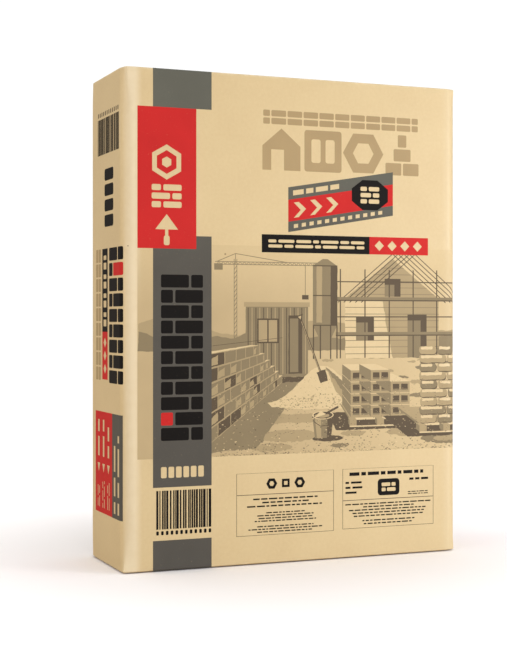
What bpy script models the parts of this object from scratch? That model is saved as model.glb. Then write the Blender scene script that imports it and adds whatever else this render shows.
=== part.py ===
"""A 35 kg cement bag: a pasted block-bottom valve sack of kraft paper, filled and standing upright.

Metres, +Z up. The origin is under the middle of the bag, on the floor. The broad printed face looks
along -Y, the narrow sides along -X and +X, and the filling valve is at the top of the +X side.
"""

import bmesh
import bpy
from mathutils import Vector

# Overall size of the filled bag, cover patches and back seam included
WIDTH = 0.407
DEPTH = 0.131
HEIGHT = 0.540

# Paper: the sack wall is three plies, the flaps and tucks are the same wall folded over
WALL = 0.0004
PATCH_SHEET = 0.0002
SLEEVE_SHEET = 0.0003
CLEARANCE = 0.0003

# Folded edges
CORNER_RADIUS = 0.014
CORNER_SEGMENTS = 8
CREASE_RADIUS = 0.0015
CREASE_SEGMENTS = 3

# Block ends: two long flaps overlap along the middle, over a triangular tuck at each narrow side
FLAP_OVERLAP = 0.020
PATCH_MARGIN = 0.010
PATCH_CORNER = 0.004

# Longitudinal seam, where the paper tube is pasted to itself on the back
SEAM_WIDTH = 0.030
SEAM_X = 0.090

# Valve: a flattened paper sleeve between the tuck and the flaps
SLEEVE_WIDTH = 0.100
SLEEVE_LENGTH = 0.120
SLEEVE_INSET = 0.001

# How far one Boolean operand runs into or past the other
OVERRUN = 0.002

# Levels of the bottom end, from the floor upwards
BOTTOM_OVERLAP_Z = PATCH_SHEET + CLEARANCE
BOTTOM_FLAP_Z = BOTTOM_OVERLAP_Z + WALL
BOTTOM_TUCK_Z = BOTTOM_FLAP_Z + WALL
CAVITY_FLOOR_Z = BOTTOM_TUCK_Z + WALL

# Levels of the top end, from the top downwards
VALVE_SLOT_HEIGHT = SLEEVE_SHEET + 2 * CLEARANCE
TOP_OVERLAP_Z = HEIGHT - PATCH_SHEET - CLEARANCE
TOP_FLAP_Z = TOP_OVERLAP_Z - WALL
VALVE_CEILING_Z = TOP_FLAP_Z - WALL
VALVE_TUCK_Z = VALVE_CEILING_Z - VALVE_SLOT_HEIGHT
CAVITY_CEILING_Z = VALVE_TUCK_Z - WALL

# The tube without its seam is a little shallower than the whole bag
TUBE_DEPTH = DEPTH - WALL
TUBE_Y = -WALL / 2
TUCK_REACH = TUBE_DEPTH / 2

# Colours are linear
KRAFT_COLOUR = (0.72, 0.53, 0.30, 1.0)
PATCH_COLOUR = (0.66, 0.48, 0.27, 1.0)
SLEEVE_COLOUR = (0.78, 0.68, 0.52, 1.0)
CEMENT_COLOUR = (0.36, 0.36, 0.34, 1.0)


def clear_scene():
    """Removes whatever objects the scene starts with."""
    for obj in list(bpy.data.objects):
        bpy.data.objects.remove(obj, do_unlink=True)


def new_collection(name):
    """A collection in the scene, for the bag's parts or for its cutters."""
    collection = bpy.data.collections.new(name)
    bpy.context.scene.collection.children.link(collection)
    return collection


def make_material(name, colour, roughness):
    """A plain Principled material. Paper and powder have no metallic share."""
    material = bpy.data.materials.new(name)
    material.use_nodes = True
    shader = material.node_tree.nodes["Principled BSDF"]
    shader.inputs["Base Color"].default_value = colour
    shader.inputs["Roughness"].default_value = roughness
    shader.inputs["Metallic"].default_value = 0.0
    return material


def add_object(name, bm, centre, collection, material=None):
    """Turns a bmesh into an object placed at centre."""
    mesh = bpy.data.meshes.new(name)
    bmesh.ops.recalc_face_normals(bm, faces=bm.faces)
    bm.to_mesh(mesh)
    bm.free()
    obj = bpy.data.objects.new(name, mesh)
    obj.location = centre
    collection.objects.link(obj)
    if material:
        mesh.materials.append(material)
    return obj


def block_mesh(size, corner_radius=0.0, crease_radius=0.0):
    """A box about the origin. Its upright edges get corner_radius, its top and bottom rims crease_radius."""
    bm = bmesh.new()
    bmesh.ops.create_cube(bm, size=1.0)
    bmesh.ops.scale(bm, vec=size, verts=bm.verts)
    if corner_radius:
        uprights = [e for e in bm.edges if abs(e.verts[0].co.z - e.verts[1].co.z) > size[2] / 2]
        bmesh.ops.bevel(
            bm, geom=uprights, offset=corner_radius, segments=CORNER_SEGMENTS, profile=0.5, affect="EDGES"
        )
    if crease_radius:
        rims = [e for e in bm.edges if abs(e.verts[0].co.z - e.verts[1].co.z) < size[2] / 2]
        bmesh.ops.bevel(
            bm, geom=rims, offset=crease_radius, segments=CREASE_SEGMENTS, profile=0.5, affect="EDGES"
        )
    return bm


def add_block(name, low, high, collection, material=None, corner_radius=0.0, crease_radius=0.0):
    """A box between two corners, with its object at its middle."""
    low = Vector(low)
    high = Vector(high)
    bm = block_mesh(high - low, corner_radius, crease_radius)
    return add_object(name, bm, (low + high) / 2, collection, material)


def add_prism(name, outline, z_low, z_high, collection):
    """A flat outline in X and Y, extruded upright between two levels."""
    bm = bmesh.new()
    corners = [bm.verts.new((x, y, z_low)) for x, y in outline]
    face = bm.faces.new(corners)
    lifted = bmesh.ops.extrude_face_region(bm, geom=[face])
    raised = [v for v in lifted["geom"] if isinstance(v, bmesh.types.BMVert)]
    bmesh.ops.translate(bm, vec=(0, 0, z_high - z_low), verts=raised)
    return add_object(name, bm, (0, 0, 0), collection)


def combine(obj, other, operation):
    """Adds or cuts other with a Boolean modifier, and hides it as a helper."""
    boolean = obj.modifiers.new(other.name, "BOOLEAN")
    boolean.operation = operation
    boolean.solver = "EXACT"
    boolean.object = other
    other.hide_render = True
    other.display_type = "WIRE"


def tuck_recess(name, side, z_low, z_high, cutters):
    """The triangle at a narrow side where the flaps' slanted edges leave the tuck bare.

    side is -1 or +1 for the -X or +X end.
    """
    outer = side * (WIDTH / 2 + OVERRUN)
    apex = side * (WIDTH / 2 - TUCK_REACH)
    spread = TUCK_REACH + OVERRUN
    outline = [(outer, TUBE_Y - spread), (outer, TUBE_Y + spread), (apex, TUBE_Y)]
    return add_prism(name, outline, z_low, z_high, cutters)


def add_flap_overlap(name, z_low, z_high, cutters):
    """The strip along the middle of an end where one long flap lies on the other."""
    half_length = WIDTH / 2 - TUCK_REACH - FLAP_OVERLAP / 2
    half_width = FLAP_OVERLAP / 2
    outline = [
        (-half_length, TUBE_Y - half_width),
        (half_length, TUBE_Y - half_width),
        (half_length - FLAP_OVERLAP, TUBE_Y + half_width),
        (FLAP_OVERLAP - half_length, TUBE_Y + half_width),
    ]
    return add_prism(name, outline, z_low, z_high, cutters)


def add_paper_sack(parts, cutters, kraft):
    """The kraft tube with its folded block ends, its back seam and the slot of the valve."""
    half_width = WIDTH / 2
    front = TUBE_Y - TUBE_DEPTH / 2
    back = TUBE_Y + TUBE_DEPTH / 2
    sack = add_block(
        "paper_sack",
        (-half_width, front, BOTTOM_FLAP_Z),
        (half_width, back, TOP_FLAP_Z),
        parts,
        kraft,
        corner_radius=CORNER_RADIUS,
        crease_radius=CREASE_RADIUS,
    )
    seam = add_block(
        "seam_overlap",
        (SEAM_X - SEAM_WIDTH / 2, back - WALL / 2, BOTTOM_FLAP_Z + 2 * CREASE_RADIUS),
        (SEAM_X + SEAM_WIDTH / 2, back + WALL, TOP_FLAP_Z - 2 * CREASE_RADIUS),
        cutters,
    )
    combine(sack, seam, "UNION")
    combine(sack, add_flap_overlap("bottom_flap_overlap", BOTTOM_OVERLAP_Z, CAVITY_FLOOR_Z, cutters), "UNION")
    combine(sack, add_flap_overlap("top_flap_overlap", VALVE_CEILING_Z, TOP_OVERLAP_Z, cutters), "UNION")
    for side, word in ((-1, "left"), (1, "right")):
        below = BOTTOM_FLAP_Z - OVERRUN
        combine(sack, tuck_recess(f"bottom_{word}_tuck", side, below, BOTTOM_TUCK_Z, cutters), "DIFFERENCE")
        tuck_top = VALVE_CEILING_Z if side < 0 else VALVE_TUCK_Z
        above = TOP_FLAP_Z + OVERRUN
        combine(sack, tuck_recess(f"top_{word}_tuck", side, tuck_top, above, cutters), "DIFFERENCE")
    cavity = add_block(
        "cavity",
        (WALL - half_width, front + WALL, CAVITY_FLOOR_Z),
        (half_width - WALL, back - WALL, CAVITY_CEILING_Z),
        cutters,
        corner_radius=CORNER_RADIUS - WALL,
    )
    combine(sack, cavity, "DIFFERENCE")
    slot_half = SLEEVE_WIDTH / 2 + CLEARANCE
    slot_end = half_width - SLEEVE_INSET - SLEEVE_LENGTH - CLEARANCE
    slot = add_block(
        "valve_slot",
        (slot_end, TUBE_Y - slot_half, VALVE_TUCK_Z),
        (half_width + OVERRUN, TUBE_Y + slot_half, VALVE_CEILING_Z),
        cutters,
    )
    combine(sack, slot, "DIFFERENCE")
    window = add_block(
        "valve_window",
        (slot_end, TUBE_Y - slot_half, CAVITY_CEILING_Z - OVERRUN),
        (half_width - TUCK_REACH, TUBE_Y + slot_half, VALVE_TUCK_Z + CLEARANCE),
        cutters,
    )
    combine(sack, window, "DIFFERENCE")
    return sack


def add_cover_patch(name, z_low, parts, patch_paper):
    """A single sheet pasted over the flaps of a block end."""
    half_length = WIDTH / 2 - PATCH_MARGIN
    half_width = TUBE_DEPTH / 2 - PATCH_MARGIN
    return add_block(
        name,
        (-half_length, TUBE_Y - half_width, z_low),
        (half_length, TUBE_Y + half_width, z_low + PATCH_SHEET),
        parts,
        patch_paper,
        corner_radius=PATCH_CORNER,
    )


def add_valve_sleeve(parts, sleeve_paper):
    """The filling sleeve, pressed flat on the tuck by the cement below it."""
    mouth = WIDTH / 2 - SLEEVE_INSET
    sleeve_z = VALVE_TUCK_Z + CLEARANCE
    return add_block(
        "valve_sleeve",
        (mouth - SLEEVE_LENGTH, TUBE_Y - SLEEVE_WIDTH / 2, sleeve_z),
        (mouth, TUBE_Y + SLEEVE_WIDTH / 2, sleeve_z + SLEEVE_SHEET),
        parts,
        sleeve_paper,
    )


def add_cement_fill(parts, cement):
    """The settled powder, as one solid that fills the sack."""
    half_width = WIDTH / 2 - WALL - CLEARANCE
    half_depth = TUBE_DEPTH / 2 - WALL - CLEARANCE
    return add_block(
        "cement_fill",
        (-half_width, TUBE_Y - half_depth, CAVITY_FLOOR_Z + CLEARANCE),
        (half_width, TUBE_Y + half_depth, CAVITY_CEILING_Z - CLEARANCE),
        parts,
        cement,
        corner_radius=CORNER_RADIUS - WALL - CLEARANCE,
    )


def main():
    """Builds the bag."""
    clear_scene()
    parts = new_collection("cement_bag")
    cutters = new_collection("cutters")
    kraft = make_material("kraft_paper", KRAFT_COLOUR, 0.85)
    patch_paper = make_material("patch_paper", PATCH_COLOUR, 0.85)
    sleeve_paper = make_material("sleeve_paper", SLEEVE_COLOUR, 0.6)
    cement = make_material("cement_powder", CEMENT_COLOUR, 0.95)
    add_paper_sack(parts, cutters, kraft)
    add_cover_patch("bottom_cover_patch", 0.0, parts, patch_paper)
    add_cover_patch("top_cover_patch", HEIGHT - PATCH_SHEET, parts, patch_paper)
    add_valve_sleeve(parts, sleeve_paper)
    add_cement_fill(parts, cement)


main()
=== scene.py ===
"""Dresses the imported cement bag: a printed kraft paper valve sack, filled and standing on its end.

The print is laid out flat, on the paper web that the sack is folded from, and then wrapped onto the
sack as thin plates of ink. Lengths are in metres, and the print layout is in millimetres.
"""

import logging
import math
import random
from dataclasses import dataclass, field
from enum import Enum
from typing import Callable, Optional, Sequence

import bmesh
import bpy
import numpy
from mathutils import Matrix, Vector, noise
from mathutils.geometry import delaunay_2d_cdt


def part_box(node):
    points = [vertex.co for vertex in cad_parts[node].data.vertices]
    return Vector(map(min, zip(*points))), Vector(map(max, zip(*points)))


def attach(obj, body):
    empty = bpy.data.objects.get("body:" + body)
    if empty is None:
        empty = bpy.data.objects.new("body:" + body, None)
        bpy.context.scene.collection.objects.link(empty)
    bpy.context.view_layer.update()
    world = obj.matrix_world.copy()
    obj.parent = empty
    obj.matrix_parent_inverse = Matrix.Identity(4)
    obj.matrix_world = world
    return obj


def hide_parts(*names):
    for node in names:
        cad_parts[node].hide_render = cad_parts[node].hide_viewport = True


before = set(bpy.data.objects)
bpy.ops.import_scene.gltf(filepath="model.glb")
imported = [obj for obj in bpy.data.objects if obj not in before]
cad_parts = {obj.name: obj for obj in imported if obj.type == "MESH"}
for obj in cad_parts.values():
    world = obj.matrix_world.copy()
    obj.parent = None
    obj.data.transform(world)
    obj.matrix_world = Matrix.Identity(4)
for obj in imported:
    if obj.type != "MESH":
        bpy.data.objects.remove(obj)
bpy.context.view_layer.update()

LOG = logging.getLogger("cement_bag")
MM = 0.001
BODY = "root"

Point = tuple[float, float]
Outline = list[Point]
Colour = tuple[float, float, float]
Piece = bpy.types.Object
Material = bpy.types.Material
Socket = bpy.types.NodeSocket
Sockets = bpy.types.bpy_prop_collection


class Ink(Enum):
    """The inks of the print. PAPER leaves the kraft bare, and PALE to DARK are the picture's tones."""

    PAPER = "paper"
    GREY = "grey"
    RED = "red"
    BLACK = "black"
    TAN = "tan"
    PALE = "sepia_pale"
    LIGHT = "sepia_light"
    MID = "sepia_mid"
    DARK = "sepia_dark"


class Side(Enum):
    """The four upright sides of the sack, in the order the web runs round it."""

    FRONT = 0
    RIGHT = 1
    BACK = 2
    LEFT = 3


# Objects and edit mode


def deselect_all() -> None:
    """Leaves edit mode and deselects every object."""
    if bpy.context.mode != "OBJECT":
        bpy.ops.object.mode_set(mode="OBJECT")
    bpy.ops.object.select_all(action="DESELECT")


def activate(piece: Piece) -> None:
    """Makes piece the only selected and the active object."""
    deselect_all()
    piece.select_set(True)
    bpy.context.view_layer.objects.active = piece


def add_box(name: str, low: Sequence[float], high: Sequence[float]) -> Piece:
    """Adds a box between two corners, with its place in its mesh.

    Args:
        name: The object's name.
        low: The lowest corner.
        high: The highest corner.

    Returns:
        The box.
    """
    low, high = Vector(low), Vector(high)
    deselect_all()
    bpy.ops.mesh.primitive_cube_add(size=1.0, location=(low + high) / 2, scale=high - low)
    bpy.ops.object.transform_apply(location=True, rotation=True, scale=True)
    piece = bpy.context.active_object
    piece.name = piece.data.name = name
    return piece


def bevel_edges(
    piece: Piece, wanted: Callable[[Vector, Vector], bool], width: float, segments: int
) -> None:
    """Rounds the edges of piece that wanted picks by their two ends.

    Args:
        piece: The object.
        wanted: Tells from an edge's two ends if it is rounded.
        width: The radius.
        segments: The faces across the round.
    """
    activate(piece)
    bpy.ops.object.mode_set(mode="EDIT")
    bpy.ops.mesh.select_mode(type="EDGE")
    bpy.ops.mesh.select_all(action="DESELECT")
    mesh = bmesh.from_edit_mesh(piece.data)
    for edge in mesh.edges:
        edge.select = wanted(edge.verts[0].co, edge.verts[1].co)
    bmesh.update_edit_mesh(piece.data)
    bpy.ops.mesh.bevel(offset=width, segments=segments, profile=0.5, affect="EDGES")
    bpy.ops.object.mode_set(mode="OBJECT")


def apply_modifiers(piece: Piece) -> None:
    """Applies every modifier of piece in order."""
    activate(piece)
    for modifier in list(piece.modifiers):
        bpy.ops.object.modifier_apply(modifier=modifier.name)


def combine(piece: Piece, tool: Piece, operation: str) -> None:
    """Adds tool to piece or cuts it out, and deletes tool.

    Args:
        piece: The object that is changed.
        tool: The object that is added or cut out.
        operation: UNION or DIFFERENCE.
    """
    boolean = piece.modifiers.new(operation, "BOOLEAN")
    boolean.operation = operation
    boolean.solver = "EXACT"
    boolean.object = tool
    apply_modifiers(piece)
    bpy.data.objects.remove(tool, do_unlink=True)


def shade_rounds(piece: Piece, angle: float = math.radians(30)) -> None:
    """Shades the rounded edges smooth and keeps the flat faces flat.

    Args:
        piece: The object.
        angle: The sharpest edge that is smoothed.
    """
    activate(piece)
    bpy.ops.object.shade_smooth_by_angle(angle=angle)
    weighted = piece.modifiers.new("weighted", "WEIGHTED_NORMAL")
    weighted.keep_sharp = True
    apply_modifiers(piece)


def thicken(sheet: Piece, thickness: float, offset: float) -> None:
    """Gives an open sheet its thickness.

    Args:
        sheet: The object.
        thickness: The distance between its two faces.
        offset: 1 adds it on the outside, and -1 on the inside.
    """
    solidify = sheet.modifiers.new("thickness", "SOLIDIFY")
    solidify.thickness = thickness
    solidify.offset = offset
    apply_modifiers(sheet)


def add_object(name: str, data: bpy.types.ID) -> Piece:
    """Makes an object that holds data and adds it to the scene.

    Args:
        name: Its name.
        data: A mesh, a light or a camera.

    Returns:
        The object.
    """
    made = bpy.data.objects.new(name, data)
    bpy.context.scene.collection.objects.link(made)
    return made


def finish_piece(
    piece: Piece, material: Material, replaced: Sequence[str] = ()
) -> None:
    """Dresses a piece, lets it ride on the bag and reports it.

    Args:
        piece: The object.
        material: Its material.
        replaced: The CAD nodes that the piece stands for.
    """
    piece.data.materials.clear()
    piece.data.materials.append(material)
    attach(piece, BODY)
    if replaced:
        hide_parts(*replaced)
    LOG.info("%s: %d faces, %s", piece.name, len(piece.data.polygons), material.name)


# Outlines on the flat web


def rectangle(left: float, bottom: float, right: float, top: float) -> Outline:
    """A rectangle's four corners."""
    return [(left, bottom), (right, bottom), (right, top), (left, top)]


def rounded(left: float, bottom: float, right: float, top: float, radius: float, steps: int = 5) -> Outline:
    """A rectangle with rounded corners.

    Args:
        left, bottom, right, top: Its sides.
        radius: The corner radius.
        steps: The edges across each corner.

    Returns:
        The outline.
    """
    corners = [(right, top), (left, top), (left, bottom), (right, bottom)]
    outline = []
    for quarter, (x, y) in enumerate(corners):
        centre_x = x - math.copysign(radius, x - (left + right) / 2)
        centre_y = y - math.copysign(radius, y - (bottom + top) / 2)
        for step in range(steps + 1):
            angle = (quarter + step / steps) * math.pi / 2
            outline.append((centre_x + radius * math.cos(angle), centre_y + radius * math.sin(angle)))
    return outline


def ellipse(centre: Point, radii: Point, steps: int, start: float = 0.0) -> Outline:
    """An ellipse.

    Args:
        centre: Its middle.
        radii: Its half width and half height.
        steps: The edges.
        start: The angle of its first point.

    Returns:
        The outline.
    """
    angles = [start + math.tau * step / steps for step in range(steps)]
    return [(centre[0] + radii[0] * math.cos(a), centre[1] + radii[1] * math.sin(a)) for a in angles]


def regular(centre: Point, radius: float, sides: int, turn: float = 0.0) -> Outline:
    """A regular polygon."""
    return ellipse(centre, (radius, radius), sides, turn)


def stroke(path: Sequence[Point], width: float) -> Outline:
    """A line of even width along a path.

    Args:
        path: The points of the middle line.
        width: The line's width.

    Returns:
        The outline.
    """
    left, right = [], []
    for i, (x, y) in enumerate(path):
        before = path[max(i - 1, 0)]
        after = path[min(i + 1, len(path) - 1)]
        along = Vector((after[0] - before[0], after[1] - before[1])).normalized() * width / 2
        left.append((x - along.y, y + along.x))
        right.append((x + along.y, y - along.x))
    return left + right[::-1]


def ragged(outline: Outline, step: float, reach: float, seed: float = 0.0) -> Outline:
    """Roughens an outline the way a flat-toned print of a photograph is rough.

    Args:
        outline: The smooth outline.
        step: The spacing of the new points.
        reach: How far a point may move.
        seed: Picks another roughness.

    Returns:
        The rough outline.
    """
    rough = []
    for (x0, y0), (x1, y1) in zip(outline, outline[1:] + outline[:1]):
        count = max(1, round(math.hypot(x1 - x0, y1 - y0) / step))
        for i in range(count):
            x, y = x0 + (x1 - x0) * i / count, y0 + (y1 - y0) * i / count
            shift = noise.noise_vector(Vector((x / step / 2, y / step / 2, seed)))
            rough.append((x + shift.x * reach, y + shift.y * reach))
    return rough


def blob(centre: Point, radii: Point, dice: random.Random, sides: int = 7) -> Outline:
    """A small irregular spot.

    Args:
        centre: Its middle.
        radii: Its mean half width and half height.
        dice: The seeded source of its shape.
        sides: The edges.

    Returns:
        The outline.
    """
    start = dice.uniform(0, math.tau)
    sizes = [dice.uniform(0.6, 1.25) for _ in range(sides)]
    angles = [start + math.tau * i / sides for i in range(sides)]
    return [
        (centre[0] + radii[0] * s * math.cos(a), centre[1] + radii[1] * s * math.sin(a))
        for s, a in zip(sizes, angles)
    ]


def moved(outline: Outline, shift: Point) -> Outline:
    """The outline, shifted."""
    return [(x + shift[0], y + shift[1]) for x, y in outline]


def clipped(outline: Outline, box: Sequence[float]) -> Outline:
    """The part of an outline inside a box, cut at one side of the box after the other.

    Args:
        outline: The whole outline.
        box: Left, bottom, right and top.

    Returns:
        The part inside, which may be empty.
    """
    for axis, limit, sign in ((0, box[0], 1), (1, box[1], 1), (0, box[2], -1), (1, box[3], -1)):
        kept = []
        for here, there in zip(outline, outline[1:] + outline[:1]):
            inside, next_inside = ((p[axis] - limit) * sign >= 0 for p in (here, there))
            if inside:
                kept.append(here)
            if inside != next_inside:
                share = (limit - here[axis]) / (there[axis] - here[axis])
                kept.append(tuple(a + (b - a) * share for a, b in zip(here, there)))
        outline = kept
    return outline


def covers(outline: Outline, spots: numpy.ndarray) -> numpy.ndarray:
    """Tells which spots an outline winds round.

    Args:
        outline: The outline.
        spots: One row for each spot.

    Returns:
        One truth value for each spot.
    """
    x, y = spots[:, 0], spots[:, 1]
    winding = numpy.zeros(len(spots), dtype=int)
    for (x0, y0), (x1, y1) in zip(outline, outline[1:] + outline[:1]):
        turn = (x1 - x0) * (y - y0) - (x - x0) * (y1 - y0)
        winding += (y0 <= y) & (y1 > y) & (turn > 0)
        winding -= (y0 > y) & (y1 <= y) & (turn < 0)
    return winding != 0


# The sack's form


@dataclass(frozen=True)
class SackForm:
    """The outer skin of the paper sack, and the way the flat web wraps onto it.

    The web runs round the sack from the left end of the front's flat part, as seen from the front.
    """

    half_width: float
    front: float
    back: float
    bottom: float
    top: float
    corner: float = 0.014
    crease: float = 0.0015
    corner_steps: int = 20
    crease_steps: int = 4
    seam_x: float = 0.090
    seam_width: float = 0.030
    seam_height: float = 0.0003
    seam_ramp: float = 0.0004

    @property
    def runs(self) -> tuple[float, float]:
        """Lengths of the flat parts of a broad side and of a narrow side."""
        return 2 * (self.half_width - self.corner), self.back - self.front - 2 * self.corner

    @property
    def arc(self) -> float:
        """Length of the web round one upright corner."""
        return self.corner * math.pi / 2

    @property
    def fold(self) -> float:
        """Length of the web round one crease."""
        return self.crease * math.pi / 2

    @property
    def girth(self) -> float:
        """Length of the web once round the sack."""
        return self.start(Side.LEFT) + self.runs[1] + self.arc

    def start(self, side: Side) -> float:
        """Where the flat part of a side starts along the web."""
        return sum(self.runs[i % 2] + self.arc for i in range(side.value))

    def side_at(self, s: float) -> Side:
        """The side that a place along the web belongs to, with the corner after it."""
        s %= self.girth
        return [side for side in Side if self.start(side) <= s][-1]

    def around(self, s: float) -> tuple[Vector, Vector]:
        """Follows the web round the sack.

        Args:
            s: The length along the web.

        Returns:
            The place in plan, and the outward normal there.
        """
        side = self.side_at(s)
        s = s % self.girth - self.start(side)
        run = self.runs[side.value % 2]
        heading = side.value * math.pi / 2
        along = Vector((math.cos(heading), math.sin(heading), 0))
        out = Vector((along.y, -along.x, 0))
        middle = Vector((0, (self.front + self.back) / 2, 0))
        reach = self.runs[(side.value + 1) % 2] / 2 + self.corner
        if s <= run:
            return middle + out * reach + along * (s - run / 2), out
        angle = (s - run) / self.corner
        turned = out * math.cos(angle) + along * math.sin(angle)
        return middle + out * (reach - self.corner) + along * run / 2 + turned * self.corner, turned

    def place(self, s: float, t: float, lift: float) -> Vector:
        """Wraps one point of the flat web onto the sack.

        Args:
            s: The length along the web.
            t: The height on the web. Past a crease it runs on across the end.
            lift: The height above the paper.

        Returns:
            The point.
        """
        spot, out = self.around(s)
        if self.side_at(s) is Side.BACK:
            off = abs(spot.x - self.seam_x) - self.seam_width / 2
            lift += self.seam_height * min(1.0, max(0.0, 1 - off / self.seam_ramp))
        low, high = self.bottom + self.crease, self.top - self.crease
        over = t - high if t > high else low - t
        if over <= 0:
            return Vector((spot.x, spot.y, t)) + out * lift
        upward = 1 if t > high else -1
        angle = min(over / self.crease, math.pi / 2)
        inward = self.crease * (1 - math.cos(angle)) + max(0.0, over - self.fold)
        edge = (high if upward > 0 else low) + upward * self.crease * math.sin(angle)
        normal = out * math.cos(angle) + Vector((0, 0, upward * math.sin(angle)))
        return Vector((spot.x, spot.y, edge)) - out * inward + normal * lift

    def cut_lines(self) -> tuple[list[float], list[float]]:
        """Finds where the print must bend.

        Returns:
            Places along the web, and heights on it.
        """
        across = []
        for side in Side:
            end = self.start(side) + self.runs[side.value % 2]
            across += [end + self.arc * i / self.corner_steps for i in range(self.corner_steps + 1)]
        seam = self.start(Side.BACK) + self.half_width - self.corner - self.seam_x
        for edge in (-1, 1):
            near = seam + edge * self.seam_width / 2
            across += [near, near + edge * self.seam_ramp]
        folds = [self.fold * i / self.crease_steps for i in range(self.crease_steps + 1)]
        low, high = self.bottom + self.crease, self.top - self.crease
        return across, [low - f for f in folds] + [high + f for f in folds]


# The print


@dataclass
class Artwork:
    """Shapes on the flat web, in millimetres. Later shapes cover earlier ones."""

    form: SackForm
    marks: list[tuple[Ink, Outline]] = field(default_factory=list)

    def split(self) -> dict[tuple[Side, Ink], list[list[Point]]]:
        """Cuts the web along every outline and gives each triangle the ink that lies on top.

        Returns:
            The triangles of each ink on each side, in millimetres.
        """
        points, lines = [], []
        for _, outline in self.marks:
            first, count = len(points), len(outline)
            lines += [(first + i, first + (i + 1) % count) for i in range(count)]
            points += [Vector(p) for p in outline]
        left, right = min(p.x for p in points), max(p.x for p in points)
        low, high = min(p.y for p in points), max(p.y for p in points)
        across, along = self.form.cut_lines()
        for s in across:
            for x in (s / MM, (s - self.form.girth) / MM):
                if left < x < right:
                    lines.append((len(points), len(points) + 1))
                    points += [Vector((x, low)), Vector((x, high))]
        for t in along:
            lines.append((len(points), len(points) + 1))
            points += [Vector((left, t / MM)), Vector((right, t / MM))]
        spots, _, triangles, _, _, _ = delaunay_2d_cdt(points, lines, [], 0, 1e-4, False)
        owners = self.owners(numpy.array(spots)[numpy.array(triangles)].mean(axis=1))
        plates: dict[tuple[Side, Ink], list[list[Point]]] = {}
        for triangle, owner in zip(triangles, owners):
            if owner < 0 or self.marks[owner][0] is Ink.PAPER:
                continue
            ink = self.marks[owner][0]
            corners = [tuple(spots[i]) for i in triangle]
            side = self.form.side_at(sum(c[0] for c in corners) / 3 * MM)
            plates.setdefault((side, ink), []).append(corners)
        return plates

    def owners(self, middles: numpy.ndarray) -> list[int]:
        """Finds the topmost mark over each triangle's middle.

        Args:
            middles: One row for each triangle.

        Returns:
            The mark's number, or -1 on bare paper.
        """
        order = numpy.argsort(middles[:, 0])
        sorted_x = middles[order, 0]
        owner = numpy.full(len(middles), -1)
        for number, (_, outline) in enumerate(self.marks):
            xs = [p[0] for p in outline]
            ends = numpy.searchsorted(sorted_x, (min(xs), max(xs)))
            near = order[ends[0]:ends[1]]
            owner[near[covers(outline, middles[near])]] = number
        return owner.tolist()


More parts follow.
